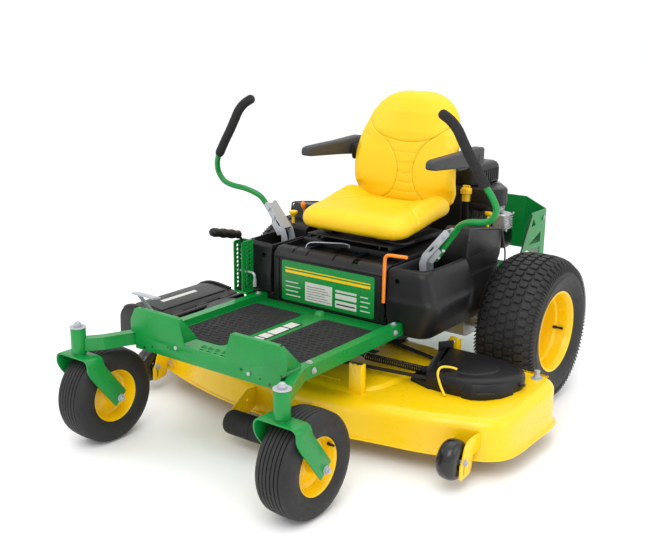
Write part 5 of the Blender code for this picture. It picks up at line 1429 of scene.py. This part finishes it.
def make_front_panel():
    face = soften(box(-0.250, 0.250, -0.5600, -0.5540, 0.3695, 0.5500), 0.0020, 2)
    ribs = [soften(box(side * 0.222, side * 0.234, -0.5635, -0.5560, 0.374, 0.545), 0.0030,
                   3) for side in SIDES]
    ledge = soften(box(-0.246, 0.246, -0.5650, -0.5560, 0.5410, 0.5500), 0.0035, 3)
    profile = [(-0.5600, 0.5470), (-0.5500, 0.5600), (-0.5350, 0.5730), (-0.5280, 0.5745), (-0.5000, 0.5760),
               (-0.5000, 0.5680), (-0.5300, 0.5660), (-0.5520, 0.5440)]
    band = soften(prism(profile, "x", -0.250, 0.250), 0.0015, 2)
    notches = []
    for x, half in ((-0.170, 0.003), (-0.105, 0.003), (0.015, 0.003), (0.110, 0.012)):
        notches.append(box(x - half, x + half, -0.548, -0.510, 0.556, 0.60))
    band = cut(band, join(*notches))
    pan = [soften(box(-0.246, 0.246, -0.5000, -0.100, 0.5520, 0.5560), 0.001),
           soften(prism([(-0.3900, 0.556), (-0.3850, 0.584), (-0.0950, 0.588), (-0.0950, 0.556)], "x", -0.246,
                        0.246), 0.004, 3)]
    for side in SIDES:
        pan.append(soften(prism([(-0.556, 0.392), (-0.095, 0.392), (-0.095, 0.586), (-0.300, 0.582),
                                 (-0.520, 0.574),
                                 (-0.556, 0.547)], "x", side * 0.2440, side * 0.2500), 0.0015))
    for x in (-0.150, -0.050, 0.060, 0.160):
        pan.append(soften(box(x - 0.004, x + 0.004, -0.500, -0.390, 0.5550, 0.5700), 0.0015))
    add_piece(join(face, *ribs, ledge, band, *pan), "seat_bay_shell", "chassis", "black_plastic", 40,
              stands_for=("front_panel",))
    decal = soften(prism(rounded(-0.209, 0.209, 0.380, 0.534, 0.009, 6), "y", -0.5618, -0.5602), 0.0004)
    add_piece(decal, "panel_plate", "chassis", "green_paint")
    marks = []
    for x0, x1, z0, z1 in ((-0.098, 0.026, 0.394, 0.466), (0.040, 0.134, 0.394, 0.420),
                           (0.040, 0.134, 0.428, 0.446),
                           (0.040, 0.134, 0.452, 0.460)):
        marks.append(prism(rounded(x0, x1, z0, z1, 0.003, 4), "y", -0.5624, -0.5610))
    for i in range(4):
        low = 0.400 + 0.017 * i
        for x0, x1 in ((-0.190, -0.120 - 0.010 * (i % 2)), (0.150, 0.192 - 0.008 * (i % 2))):
            marks.append(prism(rounded(x0, x1, low, low + 0.004, 0.0015, 3), "y", -0.5624, -0.5610))
    add_piece(join(*marks), "panel_pale_fields", "chassis", "pale_decal")
    stripes = []
    for z, wide in ((0.488, 0.010), (0.504, 0.004)):
        stripes.append(prism(rounded(-0.192, 0.192, z, z + wide, 0.0015, 3), "y", -0.5624, -0.5610))
    add_piece(join(*stripes), "panel_stripes", "chassis", "yellow_plastic")
    lines = [prism(rounded(-0.090, 0.018 - 0.012 * (i % 3), 0.402 + 0.0095 * i, 0.4036 + 0.0095 * i, 0.0006,
                           2), "y",
                   -0.5628, -0.5616) for i in range(6)]
    lines.append(prism(rounded(0.046, 0.128, 0.4045, 0.4095, 0.001, 2), "y", -0.5628, -0.5616))
    add_piece(join(*lines), "panel_dark_lines", "chassis", "black_gloss")
    wire = smooth([(-0.155, -0.492, 0.5640), (-0.140, -0.480, 0.5920), (-0.075, -0.440, 0.5935),
                   (-0.030, -0.418, 0.5935),
                   (0.000, -0.425, 0.5935), (0.020, -0.450, 0.5930)], 5)
    add_piece(tube(wire, 0.0022, 12), "bay_prop_wire", "chassis", "zinc_steel", 60)
    add_piece(soften(box(-0.262, 0.262, -0.5520, -0.5300, 0.3520, 0.3920), 0.002), "bay_sill", "chassis",
              "black_plastic")
    bolts("bay_bolts", "chassis", [((x, -0.470, 0.5565), (0, 0, 1)) for x in (-0.100, 0.000, 0.120, 0.200)],
          0.0060, 0.0045,
          0.0100)


def make_guard():
    half = [(0.088, 0.396), (0.091, 0.410), (0.112, 0.474), (0.119, 0.482), (0.303, 0.482), (0.312, 0.478),
            (0.331, 0.441),
            (0.333, 0.433), (0.333, 0.397)]
    low = [(0.312, 0.392), (0.312, 0.341)]
    plate = prism(half + low + mirror_x((half + low)[::-1], -1), "y", GUARD_Y - 0.006, GUARD_Y)
    plate = cut(plate, rod("y", (0.157, 0.3735), 0.006, GUARD_Y - 0.02, GUARD_Y + 0.02, 20),
                rod("y", (-0.157, 0.3735), 0.006, GUARD_Y - 0.02, GUARD_Y + 0.02, 20))
    parts = [soften(plate, 0.0012, 2, 40)]
    for side in SIDES:
        for x, reach in ((0.113, 0.080), (0.309, 0.095)):
            gusset = [(GUARD_Y - 0.003, 0.478), (GUARD_Y - 0.003, 0.392), (GUARD_Y + reach, 0.392),
                      (GUARD_Y + reach, 0.397),
                      (GUARD_Y + 0.012, 0.478)]
            parts.append(soften(prism(gusset, "x", side * x - 0.002, side * x + 0.002), 0.0008))
        lip = [(GUARD_Y - 0.001, 0.4790), (GUARD_Y - 0.001, 0.4820), (GUARD_Y + 0.012, 0.4825),
               (GUARD_Y + 0.012, 0.4795)]
        parts.append(soften(prism(lip, "x", side * 0.120, side * 0.302), 0.0008))
    add_piece(join(*parts), "front_guard", "chassis", "green_paint", 40, stands_for=("guard_plate",))
    front = GUARD_Y - 0.0062
    bolts("guard_bolts", "chassis", [((-0.121, front, 0.383), (0, -1, 0)),
                                     ((0.189, front, 0.369), (0, -1, 0))], 0.0068,
          0.0050, 0.0)
    # Black discs on the guard's face where its holes are: painted shade for the dark inside of the holes.
    holes = [rod("y", (side * x, z), r, front - 0.0004, front + 0.002, 16) for side in SIDES
             for x, z, r in ((0.270, 0.352, 0.0045), (0.232, 0.362, 0.0035))]
    add_piece(join(*holes), "guard_hole_shade", "chassis", "black_gloss")


def make_floor():
    inner = RAIL_X - 0.0176
    pan = soften(box(-inner, inner, GUARD_Y + 0.0006, PANEL_Y - 0.0010, 0.360, FLOOR_TOP), 0.0012)
    parts = [pan]
    studs = []
    rows = 19
    for side in SIDES:
        low, high = sorted((side * 0.046, side * 0.272))
        outer = rounded(low - 0.010, high + 0.010, -1.082, -0.630, 0.030, 8)
        window = rounded(low, high, -1.072, -0.640, 0.022, 8)
        border = loft([raise_to(outer, FLOOR_TOP - 0.001), raise_to(inset(outer, 0.0025), FLOOR_TOP + 0.0045),
                       raise_to(inset(outer, 0.0060), FLOOR_TOP + 0.0060),
                       raise_to(inset(window, -0.001), FLOOR_TOP + 0.0050),
                       raise_to(window, FLOOR_TOP + 0.0030),
                       raise_to(inset(window, 0.0002), FLOOR_TOP - 0.001)])
        parts.append(border)
        mat = loft([raise_to(window, FLOOR_TOP - 0.002), raise_to(window, FLOOR_TOP + 0.0018),
                    raise_to(inset(window, 0.0020), FLOOR_TOP + 0.0030)])
        cut(border, prism(inset(window, 0.0004), "z", FLOOR_TOP - 0.01, FLOOR_TOP + 0.02))
        add_piece(mat, side_name("ribbed_mat", side), "chassis", "rubber",
                  stands_for=(side_name("foot_mat", side),))
        for row in range(rows):
            for column in range(9):
                x = low + 0.020 + 0.0235 * column + (0.01175 if row % 2 else 0.0)
                y = -1.052 + 0.0218 * row
                if x > high - 0.014:
                    continue
                turn = math.radians(28 if (row + column) % 2 else -28)
                stud = []
                for size, lift in ((1.0, 0.0028), (0.80, 0.0058)):
                    loop = []
                    for u, v in circle((0.0, 0.0), 1.0, 8, 0.3):
                        u, v = u * 0.0092 * size, v * 0.0042 * size
                        loop.append((x + u * math.cos(turn) - v * math.sin(turn),
                                     y + u * math.sin(turn) + v * math.cos(turn),
                                     FLOOR_TOP + lift))
                    stud.append(loop)
                studs.append(stud)
    add_piece(join(*parts), "floor_pressing", "chassis", "green_paint", 40, stands_for=("floor_pan",))
    shape = bmesh.new()
    for stud in studs:
        add_loops(shape, stud)
    add_piece(from_bmesh(shape), "mat_studs", "chassis", "rubber", 40)
    strip = prism(rounded(-0.0250, 0.0250, -1.060, -0.730, 0.004, 4), "z", FLOOR_TOP - 0.0005,
                  FLOOR_TOP + 0.0012)
    add_piece(soften(strip, 0.0004), "grip_strip", "chassis", "rubber")
    bars = [prism(rounded(-0.0200, 0.0200, y, y + w, 0.0015, 3), "z", FLOOR_TOP + 0.0008, FLOOR_TOP + 0.0018)
            for y, w in ((-1.050, 0.050), (-0.992, 0.060), (-0.924, 0.040), (-0.876, 0.075), (-0.792, 0.052))]
    add_piece(join(*bars), "strip_fields", "chassis", "pale_decal")
    boss = turned([(0.0, FLOOR_TOP), (0.020, FLOOR_TOP), (0.017, FLOOR_TOP + 0.0080),
                   (0.012, FLOOR_TOP + 0.0120),
                   (0.0, FLOOR_TOP + 0.0130)], "z", (0.0, -0.600), 32)
    dimples = []
    for i in range(3):
        for j in range(6):
            x, y = -0.085 + 0.030 * j + (0.015 if i % 2 else 0.0), -1.175 + 0.030 * i
            dimples.append(ring([(0.0060, FLOOR_TOP), (0.0095, FLOOR_TOP), (0.0080, FLOOR_TOP + 0.0035),
                                 (0.0060, FLOOR_TOP + 0.0035)], "z", (x, y), 20))
    add_piece(join(boss, *dimples), "floor_dimples", "chassis", "green_paint", 40)
    rail = [((side * RAIL_X, y, RAIL_TOP + 0.0002), (0, 0, 1)) for side in SIDES for y in (-1.060, -0.585)]
    rail += [((0.3245, y, 0.366), (1, 0, 0)) for y in (-1.060, -0.600, -0.520)]
    bolts("rail_bolts", "chassis", rail, 0.0070, 0.0052, 0.0110)


def make_sector():
    plates = []
    holes = []
    for row in range(11):
        for column in range(2):
            y = -0.6135 + 0.0230 * column
            z = 0.412 + 0.0160 * row + (0.008 if column else 0.0)
            if z < 0.585:
                holes.append(rod("x", (y, z), 0.0060, -0.45, -0.330, 14))
    for x in (-SECTOR_X - 0.0200, -SECTOR_X + 0.0200):
        plates.append(prism(rounded(-0.634, -0.570, 0.3905, 0.592, 0.010, 5), "x", x - 0.002, x + 0.002))
    both = cut(join(*plates), join(*holes))
    foot = soften(box(-SECTOR_X - 0.0220, -RAIL_X - 0.0174, -0.632, -0.572, 0.3905, 0.3965), 0.001)
    clip = soften(box(-RAIL_X - 0.0210, -RAIL_X - 0.0174, -0.632, -0.572, 0.352, 0.3965), 0.001)
    cap = soften(box(-SECTOR_X - 0.0200, -SECTOR_X + 0.0200, -0.5760, -0.5700, 0.560, 0.590), 0.001)
    add_piece(join(both, foot, clip, cap), "height_plates", "chassis", "green_paint", 40,
              stands_for=("height_sector",))
    bar = smooth([(-SECTOR_X, -0.606, 0.405), (-SECTOR_X, -0.6065, 0.500), (-SECTOR_X, -0.609, 0.575),
                  (-SECTOR_X, -0.618, 0.605), (-SECTOR_X, -0.640, 0.620)], 5)
    pivot = rod("x", (-0.606, 0.405), 0.012, -SECTOR_X - 0.0155, -SECTOR_X + 0.0155, 28)
    add_piece(join(tube(bar, 0.0055, 18), pivot), "height_bar", "height_lever", "black_steel", 60,
              stands_for=("height_lever",))
    grip = []
    radii = []
    for i in range(25):
        share = i / 24
        grip.append((-SECTOR_X, -0.622 - 0.156 * share, 0.6165 + 0.0370 * share))
        radii.append(0.0152 + 0.0012 * math.cos(share * math.tau * 3.5) + 0.0020 * math.sin(share * math.pi)
                     - (0.005 if i in (0, 24) else 0.0))
    add_piece(tube(grip, radii, 24), "height_grip", "height_lever", "black_plastic", 60)
    x, y, z = HEIGHT_PIN
    pin = smooth([(x - 0.030, y, z), (x + 0.020, y, z), (x + 0.042, y, z), (x + 0.051, y, z - 0.006),
                  (x + 0.054, y, z - 0.020),
                  (x + 0.054, y, z - 0.052)], 5)
    add_piece(join(tube(pin, 0.0050, 18), rod("z", (x + 0.054, y), 0.0070, z - 0.052, z - 0.026, 24)),
              "height_pin_rod",
              "height_pin", "zinc_steel", 60, stands_for=("height_pin",))


def make_small_controls():
    x, y = 0.256, -0.5745
    bar = smooth([(x, y, 0.455), (x + 0.001, y, 0.540), (x + 0.002, y, 0.605), (x + 0.006, y, 0.620),
                  (x + 0.018, y, 0.627),
                  (x + 0.050, y, 0.629), (x + 0.090, y, 0.631)], 5)
    add_piece(tube(bar, 0.0062, 20), "wrench_rod", "levelling_wrench", "orange_plastic", 60,
              stands_for=("levelling_wrench",))
    kx, ky, kz = -0.347, -0.320, 0.6155
    knob = turned([(0.0, kz - 0.002), (0.006, kz - 0.002), (0.006, kz + 0.022), (0.0085, kz + 0.0250),
                   (0.0150, kz + 0.0360),
                   (0.0175, kz + 0.0400), (0.0178, kz + 0.0440), (0.0160, kz + 0.0475), (0.0080, kz + 0.0488),
                   (0.0, kz + 0.0490)], "z", (kx, ky), 40)
    add_piece(knob, "switch_knob", "blade_switch_knob", "yellow_plastic", stands_for=("blade_switch_knob",))
    x, y, z = -0.322, -0.273, 0.631
    lever = join(rod("x", (y, z), 0.0080, x - 0.008, x + 0.008, 28),
                 tube([(x, y, z), (x, y - 0.012, z + 0.044)], 0.0040, 14),
                 tube(smooth([(x, y - 0.010, z + 0.036), (x, y - 0.0145, z + 0.052), (x, y - 0.0165, z + 0.062),
                              (x, y - 0.0175, z + 0.067)], 3),
                      [0.005, 0.007, 0.009, 0.0100, 0.0103, 0.0100, 0.0090, 0.0075, 0.0060, 0.0040], 20))
    add_piece(lever, "throttle_arm", "throttle_lever", "orange_plastic", stands_for=("throttle_lever",))


# Engine, its guard, transaxles and discharge chute ----------------------------------------------------------

def make_shroud():
    half = [(0.262, 0.156), (0.296, 0.178), (0.306, 0.200), (0.306, 0.246), (0.296, 0.264), (0.264, 0.304),
            (0.208, 0.374),
            (0.160, 0.424), (0.150, 0.430)]
    plan = smooth_ring([(-x, y) for x, y in half[::-1]] + half)
    top = loft([raise_to(inset(plan, 0.003), 0.681), raise_to(plan, 0.684), raise_to(plan, 0.742),
                raise_to(inset(plan, 0.004), 0.749), raise_to(inset(plan, 0.012), 0.752)])
    wedge = loft([[(x, y, z) for x, z in ((-w, low), (w, low), (w, 0.742), (-w, 0.742))]
                  for y, w, low in ((0.142, 0.150, 0.560), (0.146, 0.158, 0.520), (0.190, 0.160, 0.500))])
    soften(wedge, 0.006, 3, 30)
    parts = [top, wedge]
    for i in range(9):
        x = -0.096 + 0.024 * i
        parts.append(soften(box(x - 0.0035, x + 0.0035, 0.1395, 0.150, 0.545, 0.670), 0.0015))
    for side in SIDES:
        parts.append(soften(prism(mirror_x([(0.158, 0.150), (0.262, 0.160), (0.290, 0.190), (0.262, 0.204),
                                            (0.158, 0.196)],
                                           side), "z", 0.660, 0.690), 0.005, 3))
    add_piece(join(*parts), "engine_cowl", "chassis", "black_plastic", 40, stands_for=("engine_shroud",))
    bolts("cowl_bolts", "chassis", [((side * x, y, 0.7525), (0, 0, 1)) for side in SIDES
                                    for x, y in ((0.245, 0.190), (0.225, 0.320))], 0.0065, 0.0050, 0.0100)


def smooth_ring(points, steps=4):
    """A closed flat loop with rounded bends."""
    made = []
    count = len(points)
    for i, here in enumerate(points):
        before, after = Vector(points[i - 1]), Vector(points[(i + 1) % count])
        here = Vector(here)
        start, end = here.lerp(before, 0.35), here.lerp(after, 0.35)
        for k in range(steps + 1):
            t = k / steps
            made.append(tuple(start.lerp(here, t).lerp(here.lerp(end, t), t)))
    return made


def make_air_cleaner():
    plan = rounded(-0.200, 0.200, 0.175, 0.405, 0.045, 10)
    body = loft([raise_to(inset(plan, 0.004), 0.7527), raise_to(plan, 0.757), raise_to(plan, 0.806),
                 raise_to(inset(plan, 0.003), 0.820), raise_to(inset(plan, 0.010), 0.830),
                 raise_to(inset(plan, 0.022), 0.8355), raise_to(inset(plan, 0.034), 0.8360)])
    parts = [body]
    for i in range(13):
        x = -0.132 + 0.022 * i
        parts.append(soften(box(x - 0.0045, x + 0.0045, 0.1722, 0.182, 0.762, 0.815), 0.0020, 2))
    for side in SIDES:
        for i in range(8):
            y = 0.225 + 0.0185 * i
            parts.append(soften(box(side * 0.195, side * 0.2028, y - 0.004, y + 0.004, 0.762, 0.812), 0.0018,
                                2))
        parts.append(soften(box(side * 0.085, side * 0.115, 0.168, 0.184, 0.772, 0.810), 0.004, 3))
    parts.append(soften(prism(rounded(-0.130, 0.130, 0.225, 0.365, 0.030, 8), "z", 0.830, 0.8400), 0.004, 3))
    add_piece(join(*parts), "cleaner_cover", "chassis", "black_plastic", 40, stands_for=("air_cleaner",))


def make_engine():
    parts = [soften(box(-0.125, 0.125, 0.205, 0.455, 0.4005, 0.520), 0.012, 3),
             soften(box(-0.110, 0.110, 0.215, 0.440, 0.500, 0.600), 0.010, 3),
             soften(box(-0.060, 0.060, 0.190, 0.220, 0.420, 0.500), 0.008, 3)]
    for side in SIDES:
        parts.append(soften(box(side * 0.100, side * 0.262, 0.222, 0.313, 0.570, 0.654), 0.006))
        for i in range(13):
            x = 0.116 + 0.0116 * i
            fin = prism(rounded(0.205, 0.330, 0.556, 0.668, 0.012, 4), "x", side * (x - 0.0013),
                        side * (x + 0.0013))
            parts.append(fin)
        parts.append(rod("x", (0.267, 0.612), 0.030, side * 0.240, side * 0.262, 32))
        parts.append(soften(box(side * 0.120, side * 0.150, 0.180, 0.215, 0.590, 0.640), 0.004))
    add_piece(join(*parts), "engine_castings", "chassis", "cast_alloy", 35, stands_for=("engine_block",))
    for side in SIDES:
        plan = rounded(0.212, 0.288, 0.572, 0.654, 0.016, 8)
        stations = ((0.2625, 0.0), (0.2700, 0.0), (0.2705, 0.003), (0.3090, 0.006), (0.3150, 0.010),
                    (0.3178, 0.018))
        loops = [[(side * x, y, z) for y, z in inset(plan, gap)] for x, gap in stations]
        cover = [loft(loops)]
        for i in range(6):
            z = 0.588 + 0.0105 * i
            cover.append(soften(box(side * 0.300, side * 0.3205, 0.222, 0.278, z - 0.0022, z + 0.0022), 0.0012))
        add_piece(join(*cover), side_name("rocker_cover", side), "chassis", "cast_alloy", 40,
                  stands_for=(side_name("valve_cover", side),))
        bolts(side_name("rocker_bolts", side), "chassis",
              [((side * 0.3185, y, z), (side, 0, 0)) for y, z in ((0.221, 0.581), (0.279, 0.645))], 0.0050,
              0.0040, 0.0)
    can = [turned([(0.0, 0.135), (0.033, 0.135), (0.037, 0.140), (0.037, 0.196), (0.033, 0.204),
                   (0.0, 0.204)], "y",
                  (0.060, 0.480), 40)]
    add_piece(join(*can), "oil_filter", "chassis", "black_steel")


def make_caps():
    x, y, z = 0.170, 0.150, 0.726
    cap = [turned([(0.0, z - 0.030), (0.017, z - 0.030), (0.017, z - 0.004), (0.0225, z), (0.0225, z + 0.018),
                   (0.0190, z + 0.023), (0.0, z + 0.024)], "z", (x, y), 40),
           soften(box(x - 0.016, x + 0.016, y - 0.004, y + 0.004, z + 0.020, z + 0.034), 0.003, 3)]
    for i in range(16):
        turn = math.tau * i / 16
        cap.append(rod("z", (x + 0.0222 * math.cos(turn), y + 0.0222 * math.sin(turn)), 0.0016, z + 0.001,
                       z + 0.017, 8))
    add_piece(join(*cap), "oil_cap", "chassis", "yellow_plastic")
    x, y, z = 0.273, 0.150, 0.653
    grip = [turned([(0.0, z - 0.004), (0.010, z - 0.004), (0.0150, z + 0.002), (0.0150, z + 0.010),
                    (0.0, z + 0.012)], "z",
                   (x, y), 32),
            tube([(x, y, z - 0.150), (x, y, z)], 0.0055, 16)]
    add_piece(join(*grip), "dipstick_grip", "chassis", "yellow_plastic", 60)
    neck = join(tube([(0.170, 0.160, 0.600), (0.170, 0.152, 0.700)], 0.014, 24))
    add_piece(neck, "filler_neck", "chassis", "black_plastic", 60)
    for n, (a, b, c) in enumerate((((0.120, 0.150, 0.560), (0.200, 0.130, 0.530), (0.258, 0.170, 0.470)),
                                   ((-0.100, 0.160, 0.540), (-0.180, 0.130, 0.520), (-0.230, 0.160, 0.440)))):
        add_piece(tube(smooth([a, b, c], 8), 0.0050, 14), "fuel_hose_%d" % n, "chassis", "rubber", 60)


def make_exhaust():
    profile = rounded(0.502, 0.610, 0.422, 0.518, 0.040, 10)
    loops = [[(x, y, z) for y, z in inset(profile, gap)]
             for x, gap in ((-0.170, 0.018), (-0.166, 0.006), (-0.158, 0.0), (0.158, 0.0), (0.166, 0.006),
                            (0.170, 0.018))]
    parts = [loft(loops)]
    bead = ((-0.004, 0.0005), (-0.002, -0.0030), (0.002, -0.0030), (0.004, 0.0005))
    for x in (-0.110, 0.0, 0.110):
        parts.append(loft([[(x + along, y, z) for y, z in inset(profile, gap)] for along, gap in bead]))
    add_piece(join(*parts), "silencer", "chassis", "black_steel", 40, stands_for=("muffler",))


def make_engine_guard():
    round_node("engine_guard", 0.0012)
    for side in SIDES:
        lip = smooth(mirror_x([(0.3695, 0.352, 0.6310), (0.3695, 0.300, 0.5470), (0.3695, 0.240, 0.4430),
                               (0.3695, 0.212, 0.3960)], side), 3)
        add_piece(tube(lip, 0.0034, 12), side_name("guard_edge", side), "chassis", "black_steel", 60)
        bolts(side_name("guard_bolts", side), "chassis",
              [((side * 0.3712, y, z), (side, 0, 0))
               for y, z in ((0.250, 0.412), (0.420, 0.412), (0.470, 0.600))], 0.0070, 0.0052, 0.0110)


def make_chute():
    x0, z0 = CHUTE_HINGE
    front, rear = -0.748, -0.292
    top = [(-0.006, 0.006), (-0.030, 0.014), (-0.060, 0.020), (-0.130, 0.026), (-0.165, 0.024), (-0.190, 0.018),
           (-0.212, 0.009), (-0.226, 0.0), (-0.237, -0.014), (-0.243, -0.030), (-0.2445, -0.060),
           (-0.246, -0.116)]
    under = [(x + 0.004, z - 0.005) for x, z in top[:9]] + [(-0.2380, -0.032), (-0.2395, -0.060),
                                                            (-0.2410, -0.116)]
    shell = prism([(x0 + x, z0 + z) for x, z in top + under[::-1]], "y", front + 0.001, rear - 0.001)
    parts = [soften(shell, 0.0012, 2, 50)]
    skirt = [(-0.050, -0.014), (-0.060, 0.018), (-0.130, 0.024), (-0.190, 0.016), (-0.226, -0.002),
             (-0.241, -0.031),
             (-0.2445, -0.114), (-0.190, -0.100), (-0.120, -0.080), (-0.064, -0.064)]
    for y in (front + 0.001, rear - 0.006):
        parts.append(soften(prism([(x0 + x, z0 + z) for x, z in skirt], "y", y, y + 0.005), 0.0015))
    rim = [(x0 + x, y, z0 + z + 0.0035) for x, z, y in ((-0.040, 0.0165, front + 0.006),
                                                        (-0.130, 0.026, front + 0.006),
                                                    (-0.190, 0.018, front + 0.006),
                                                    (-0.232, -0.006, front + 0.016),
                                                    (-0.2445, -0.045, front + 0.070), (-0.2450, -0.050, -0.520),
                                                    (-0.2445, -0.045, rear - 0.070),
                                                    (-0.232, -0.006, rear - 0.016),
                                                    (-0.190, 0.018, rear - 0.006),
                                                    (-0.130, 0.026, rear - 0.006),
                                                    (-0.040, 0.0165, rear - 0.006))]
    add_piece(tube(smooth(rim, 5), 0.0050, 14), "chute_rim", "discharge_chute", "black_gloss", 60)
    panel = [(-0.040, 0.0172), (-0.060, 0.0205), (-0.130, 0.0268), (-0.188, 0.0188), (-0.186, 0.0160),
             (-0.130, 0.0235),
             (-0.060, 0.0170), (-0.040, 0.0140)]
    panel = prism([(x0 + x, z0 + z + 0.0030) for x, z in panel], "y", front + 0.040, rear - 0.040)
    block = [(x0 + x, z0 + z + 0.0036) for x, z in ((-0.074, 0.0207), (-0.118, 0.0255), (-0.118, 0.0225),
                                                    (-0.074, 0.0177))]
    add_piece(prism(block, "y", -0.640, -0.440), "chute_pale_block", "discharge_chute", "pale_decal")
    add_piece(soften(panel, 0.0010), "chute_panel", "discharge_chute", "grey_plastic", 40)
    for y in (-0.660, -0.520, -0.380):
        parts.append(rod("y", (x0, z0), 0.0085, y - 0.030, y + 0.030, 24))
        parts.append(soften(box(x0 - 0.040, x0 - 0.002, y - 0.028, y + 0.028, z0 + 0.003, z0 + 0.0085), 0.0015))
    # A black strip on the deck along the chute's hinge edge: it closes the gap under the hinge, and its black is
    # painted shade for the hinge's shadow line.
    flap = [(x0 + 0.010, z0 + 0.004), (x0 + 0.010, z0 + 0.008), (x0 + 0.028, z0 + 0.010),
            (x0 + 0.034, z0 + 0.006),
            (x0 + 0.034, 0.2270), (x0 + 0.030, 0.2270), (x0 + 0.030, z0 + 0.003)]
    add_piece(soften(prism(flap, "y", front, rear), 0.0010), "chute_strip_hinge_shade", "deck", "black_plastic")
    add_piece(join(*parts), "chute_hood", "discharge_chute", "black_plastic", 40,
              stands_for=("discharge_chute",))


def round_node(name, width, angle=30):
    """Rounds the edges of a CAD node that stays in view."""
    bevel = frame["nodes"][name].modifiers.new("rounding", "BEVEL")
    bevel.width = width
    bevel.segments = 2
    bevel.limit_method = "ANGLE"
    bevel.angle_limit = math.radians(angle)


# Camera, light and floor --------------------------------------------------------------------------------

CAMERA_PLACE = Vector((2.00, -3.26, 1.43)) + SHIFT
CAMERA_AZIMUTH, CAMERA_ELEVATION, CAMERA_ROLL = 36.8, 15.2, 0.5
FLOOR_RADIUS = 60.0
FOCAL_SHARE = 1.48992                   # focal length as a share of the sensor's width


def add_camera():
    data = bpy.data.cameras.new("camera")
    data.sensor_width = 36.0
    data.lens = 36.0 * FOCAL_SHARE
    camera = bpy.data.objects.new("camera", data)
    bpy.context.scene.collection.objects.link(camera)
    turn, rise = math.radians(CAMERA_AZIMUTH), math.radians(CAMERA_ELEVATION)
    back = Vector((math.sin(turn) * math.cos(rise), -math.cos(turn) * math.cos(rise), math.sin(rise)))
    aim = (-back).to_track_quat("-Z", "Y").to_matrix().to_4x4()
    camera.matrix_world = (Matrix.Translation(CAMERA_PLACE) @ aim
                           @ Matrix.Rotation(math.radians(CAMERA_ROLL), 4, "Z"))
    bpy.context.scene.camera = camera


def add_light(name, at, toward, size, power):
    data = bpy.data.lights.new(name, "AREA")
    data.shape = "RECTANGLE"
    data.size, data.size_y = size
    data.energy = power
    light = bpy.data.objects.new(name, data)
    light.location = at
    light.rotation_mode = "QUATERNION"
    light.rotation_quaternion = (Vector(toward) - Vector(at)).to_track_quat("-Z", "Y")
    bpy.context.scene.collection.objects.link(light)


def add_stage():
    world = bpy.data.worlds.new("studio")
    world.use_nodes = True
    world.node_tree.nodes["Background"].inputs["Color"].default_value = (1.0, 1.0, 1.0, 1.0)
    world.node_tree.nodes["Background"].inputs["Strength"].default_value = 1.04
    bpy.context.scene.world = world
    bpy.context.scene.view_settings.view_transform = "Standard"
    add_light("key", (1.8, -3.2, 4.2), (0.0, -0.2, 0.4), (3.0, 3.0), 105)
    add_light("fill", (-3.6, -2.4, 2.6), (0.0, 0.0, 0.5), (2.6, 2.6), 26)
    add_light("side", (4.2, 0.6, 2.2), (0.0, 0.0, 0.5), (2.4, 2.4), 26)
    add_light("top", (0.0, 1.2, 4.6), (0.0, 0.2, 0.5), (3.5, 3.5), 42)
    floor = rod("z", (0.0, 0.0), FLOOR_RADIUS, -0.006, 0.0, 64)
    floor.name = "floor"
    pale = Shade("pale_floor", (0.97, 0.97, 0.97), 0.80)
    pale.vary(3.0, 0.015)
    floor.data.materials.append(pale.material)


def paint_cad():
    """Gives each CAD node that stays in view the finished material of its slot."""
    for part in frame["record"]["subparts"]:
        node = frame["nodes"][part["node"]]
        node.data.materials.clear()
        node.data.materials.append(MATERIALS[part["material_slot"]])
        node.data.shade_smooth()
        node.data.set_sharp_from_angle(angle=math.radians(30))


make_paints()
make_plastics()
make_rubbers()
make_metals()
make_vinyl()
paint_cad()
add_camera()
add_stage()
for way in SIDES:
    make_caster(way)
    make_fork(way)
    make_kingpin_tube(way)
    make_turf_tyre(way)
    make_drive_rim(way)
    make_lever(way)
    make_armrest(way)
make_seat()
make_seat_base()
make_deck()
for way in SIDES:
    make_gauge(way)
    make_belt_cover(way)
make_roller()
make_deck_fittings()
for way in SIDES:
    make_console(way)
make_front_panel()
make_guard()
make_floor()
make_sector()
make_small_controls()
make_shroud()
make_air_cleaner()
make_engine()
make_caps()
make_exhaust()
make_engine_guard()
make_chute()
round_node("main_frame", 0.0020, 50)
for way in SIDES:
    round_node(side_name("transaxle", way), 0.0025)
